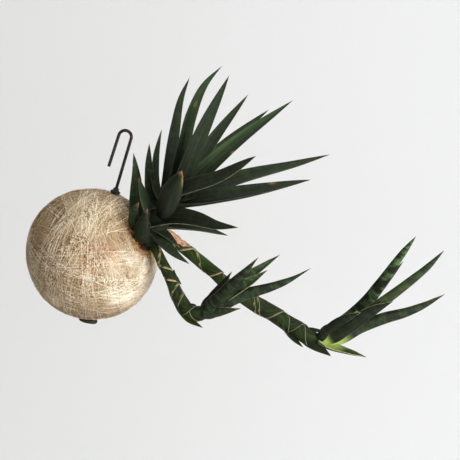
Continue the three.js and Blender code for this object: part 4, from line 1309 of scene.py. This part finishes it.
class KOKEDAMA_OT_old_bases(bpy.types.Operator):
    """Models the dead leaf bases and loose fibres round the foot of the crown"""

    bl_idname = "kokedama.old_bases"
    bl_label = "Old bases"

    def execute(self, context):
        luck = random.Random(FOOT_SEED)
        floor = BALL_CENTRE + FOOT_DIRECTION * (BALL_RADIUS - WRAP_THICKNESS - 1)
        body = Body()
        for out in self.spokes(luck, OUTER_BASES, 0.15):
            high = luck.uniform(6, 10.5)
            root = floor + out * luck.uniform(10.6, 12)
            self.dead_base(body, root, out, high, (0.55, 0.6, 2.2), luck.uniform(4, 7), (14, 12))
        for out in self.spokes(luck, INNER_BASES, 0.12):
            root = floor + out * luck.uniform(10, 11.4)
            high, flare = luck.uniform(4, 7), luck.uniform(2, 4.6)
            self.dead_base(body, root, out, high, (0.6, 0.5, flare), luck.uniform(2.4, 5), (12, 10))
        dead = dry_finish("dead_base_skin", "1c110e", "402a22", "70493a")
        body.finished("dead_bases", dead, "old_base", ("crown_old_bases",))
        self.fibres(luck)
        return {"FINISHED"}

    def spokes(self, luck, count, stray):
        """Directions all round the foot, each a little astray."""
        for i in range(count):
            yield outward(2 * math.pi * i / count + luck.uniform(-stray, stray))

    def dead_base(self, body, root, out, high, bow, width, grid):
        """One dead base. bow is how high up it bends, and how far out it stands there and at its tip."""
        bend, lean, flare = bow
        middle = root + FOOT_DIRECTION * bend * high + out * lean
        rib = (root, middle, root + FOOT_DIRECTION * high + out * flare)
        leaf(body, {"rib": [tuple(p) for p in rib], "width": width}, -out, around=grid[0], along=grid[1])

    def fibres(self, luck):
        """Short wiry fibres that spill out of the opening over the thread."""
        body = Body()
        for _ in range(ROOT_FIBRES):
            out = outward(luck.uniform(0, 2 * math.pi))
            tilt, reach = CROWN_OPENING - luck.uniform(0.0, 0.08), luck.uniform(0.05, 0.26)
            sway = FOOT_SIDE * luck.gauss(0, 0.06) + FOOT_UP * luck.gauss(0, 0.06)
            rib = []
            for step in (0, 0.35, 0.7, 1):
                bend = tilt + reach * step
                heading = (FOOT_DIRECTION * math.cos(bend) + out * math.sin(bend) + sway * step).normalized()
                lift = luck.uniform(0.2, 0.7) + 0.9 * math.sin(math.pi * step)
                rib.append(BALL_CENTRE + heading * (BALL_RADIUS + lift - 1.2 * (step == 0)))
            hair(body, rib, luck.uniform(0.1, 0.2), luck.random())
        material = dry_finish("root_fibre", "a06a38", "d39c58", "f0cb8c")
        body.finished("root_fibres", material, "old_base", ())


class KOKEDAMA_OT_loose_ends(bpy.types.Operator):
    """Adds the short ends of thread that stand off the ball"""

    bl_idname = "kokedama.loose_ends"
    bl_label = "Loose ends"

    def execute(self, context):
        luck = random.Random(LOOSE_END_SEED)
        body = Body()
        made = 0
        while made < LOOSE_ENDS:
            heading = scattered(luck, 1).normalized()
            if heading.angle(FOOT_DIRECTION) < CROWN_OPENING + 0.1:
                continue
            made += 1
            along = heading.orthogonal().normalized()
            along.rotate(Matrix.Rotation(luck.uniform(0, ANY_PHASE), 3, heading))
            reach = luck.uniform(0.02, 0.07)
            heights = (0.1, luck.uniform(0.5, 0.8), luck.uniform(0.5, 1.5))
            rib = [
                BALL_CENTRE + (heading + along * reach * i).normalized() * (BALL_RADIUS + height)
                for i, height in enumerate(heights)
            ]
            hair(body, rib, luck.uniform(0.08, 0.14), luck.uniform(0.4, 1))
        body.finished("loose_ends", bpy.data.materials["wound_thread"], "thread", ())
        return {"FINISHED"}


class KOKEDAMA_OT_runners(bpy.types.Operator):
    """Models the two scale-clad runners"""

    bl_idname = "kokedama.runners"
    bl_label = "Runners"

    def execute(self, context):
        material = scale_finish(context.scene.kokedama_plant)
        for row in (
            ("short_runner", SHORT_RUNNER, SHORT_RUNNER_SCALES, SHORT_RUNNER_FREE_SCALES, SHORT_ROSETTE_AXIS),
            ("long_runner", LONG_RUNNER, LONG_RUNNER_SCALES, LONG_RUNNER_FREE_SCALES, LONG_ROSETTE_AXIS),
        ):
            runner(*row, material)
        return {"FINISHED"}


class KOKEDAMA_OT_rosettes(bpy.types.Operator):
    """Models the rosettes of mottled leaves at the runners' ends"""

    bl_idname = "kokedama.rosettes"
    bl_label = "Rosettes"

    def execute(self, context):
        material = leaf_finish("rosette_leaf_skin", context.scene.kokedama_plant, 0.12)
        rosette("short_rosette", SHORT_ROSETTE_STEM, SHORT_ROSETTE_LEAVES, SHORT_ROSETTE_AXIS, 0.0, material)
        rosette("long_rosette", LONG_ROSETTE_STEM, LONG_ROSETTE_LEAVES, LONG_ROSETTE_AXIS, 0.7, material)
        return {"FINISHED"}


class KOKEDAMA_OT_bracts(bpy.types.Operator):
    """Models the papery bracts on the long runner"""

    bl_idname = "kokedama.bracts"
    bl_label = "Bracts"

    def execute(self, context):
        body = Body()
        for row in DRY_BRACTS:
            leaf(body, dict(row, fold=0.8), Vector((-0.3, 0.8, -0.5)).normalized(), around=20, along=36)
        paper = dry_finish("papery_bract", "7d5440", "bd9476", "e2cdb0")
        body.finished("papery_bracts", paper, "dry_bract", ("dry_bracts",))
        return {"FINISHED"}


class KOKEDAMA_PT_panel(bpy.types.Panel):
    """Lists the steps that build the kokedama"""

    bl_label = "Kokedama"
    bl_idname = "KOKEDAMA_PT_panel"
    bl_space_type = "VIEW_3D"
    bl_region_type = "UI"
    bl_category = "Kokedama"

    def draw(self, context):
        for name, kind in SETTINGS.items():
            box = self.layout.box()
            for item in kind.__annotations__:
                box.prop(getattr(context.scene, name), item)
        for operator in OPERATORS:
            self.layout.operator(operator.bl_idname)


SETTINGS = {"kokedama_ball": KokedamaBall, "kokedama_plant": KokedamaPlant, "kokedama_stage": KokedamaStage}
OPERATORS = (
    KOKEDAMA_OT_stage,
    KOKEDAMA_OT_soil,
    KOKEDAMA_OT_thread,
    KOKEDAMA_OT_flecks,
    KOKEDAMA_OT_loose_ends,
    KOKEDAMA_OT_hook,
    KOKEDAMA_OT_crown,
    KOKEDAMA_OT_old_bases,
    KOKEDAMA_OT_runners,
    KOKEDAMA_OT_rosettes,
    KOKEDAMA_OT_bracts,
)


def register():
    for kind in (*SETTINGS.values(), *OPERATORS, KOKEDAMA_PT_panel):
        bpy.utils.register_class(kind)
    for name, kind in SETTINGS.items():
        setattr(bpy.types.Scene, name, bpy.props.PointerProperty(type=kind))


def unregister():
    for name in SETTINGS:
        delattr(bpy.types.Scene, name)
    for kind in reversed((*SETTINGS.values(), *OPERATORS, KOKEDAMA_PT_panel)):
        bpy.utils.unregister_class(kind)


def main():
    register()
    for operator in OPERATORS:
        group, name = operator.bl_idname.split(".")
        getattr(getattr(bpy.ops, group), name)()
    bpy.context.view_layer.update()


if __name__ == "__main__":
    main()
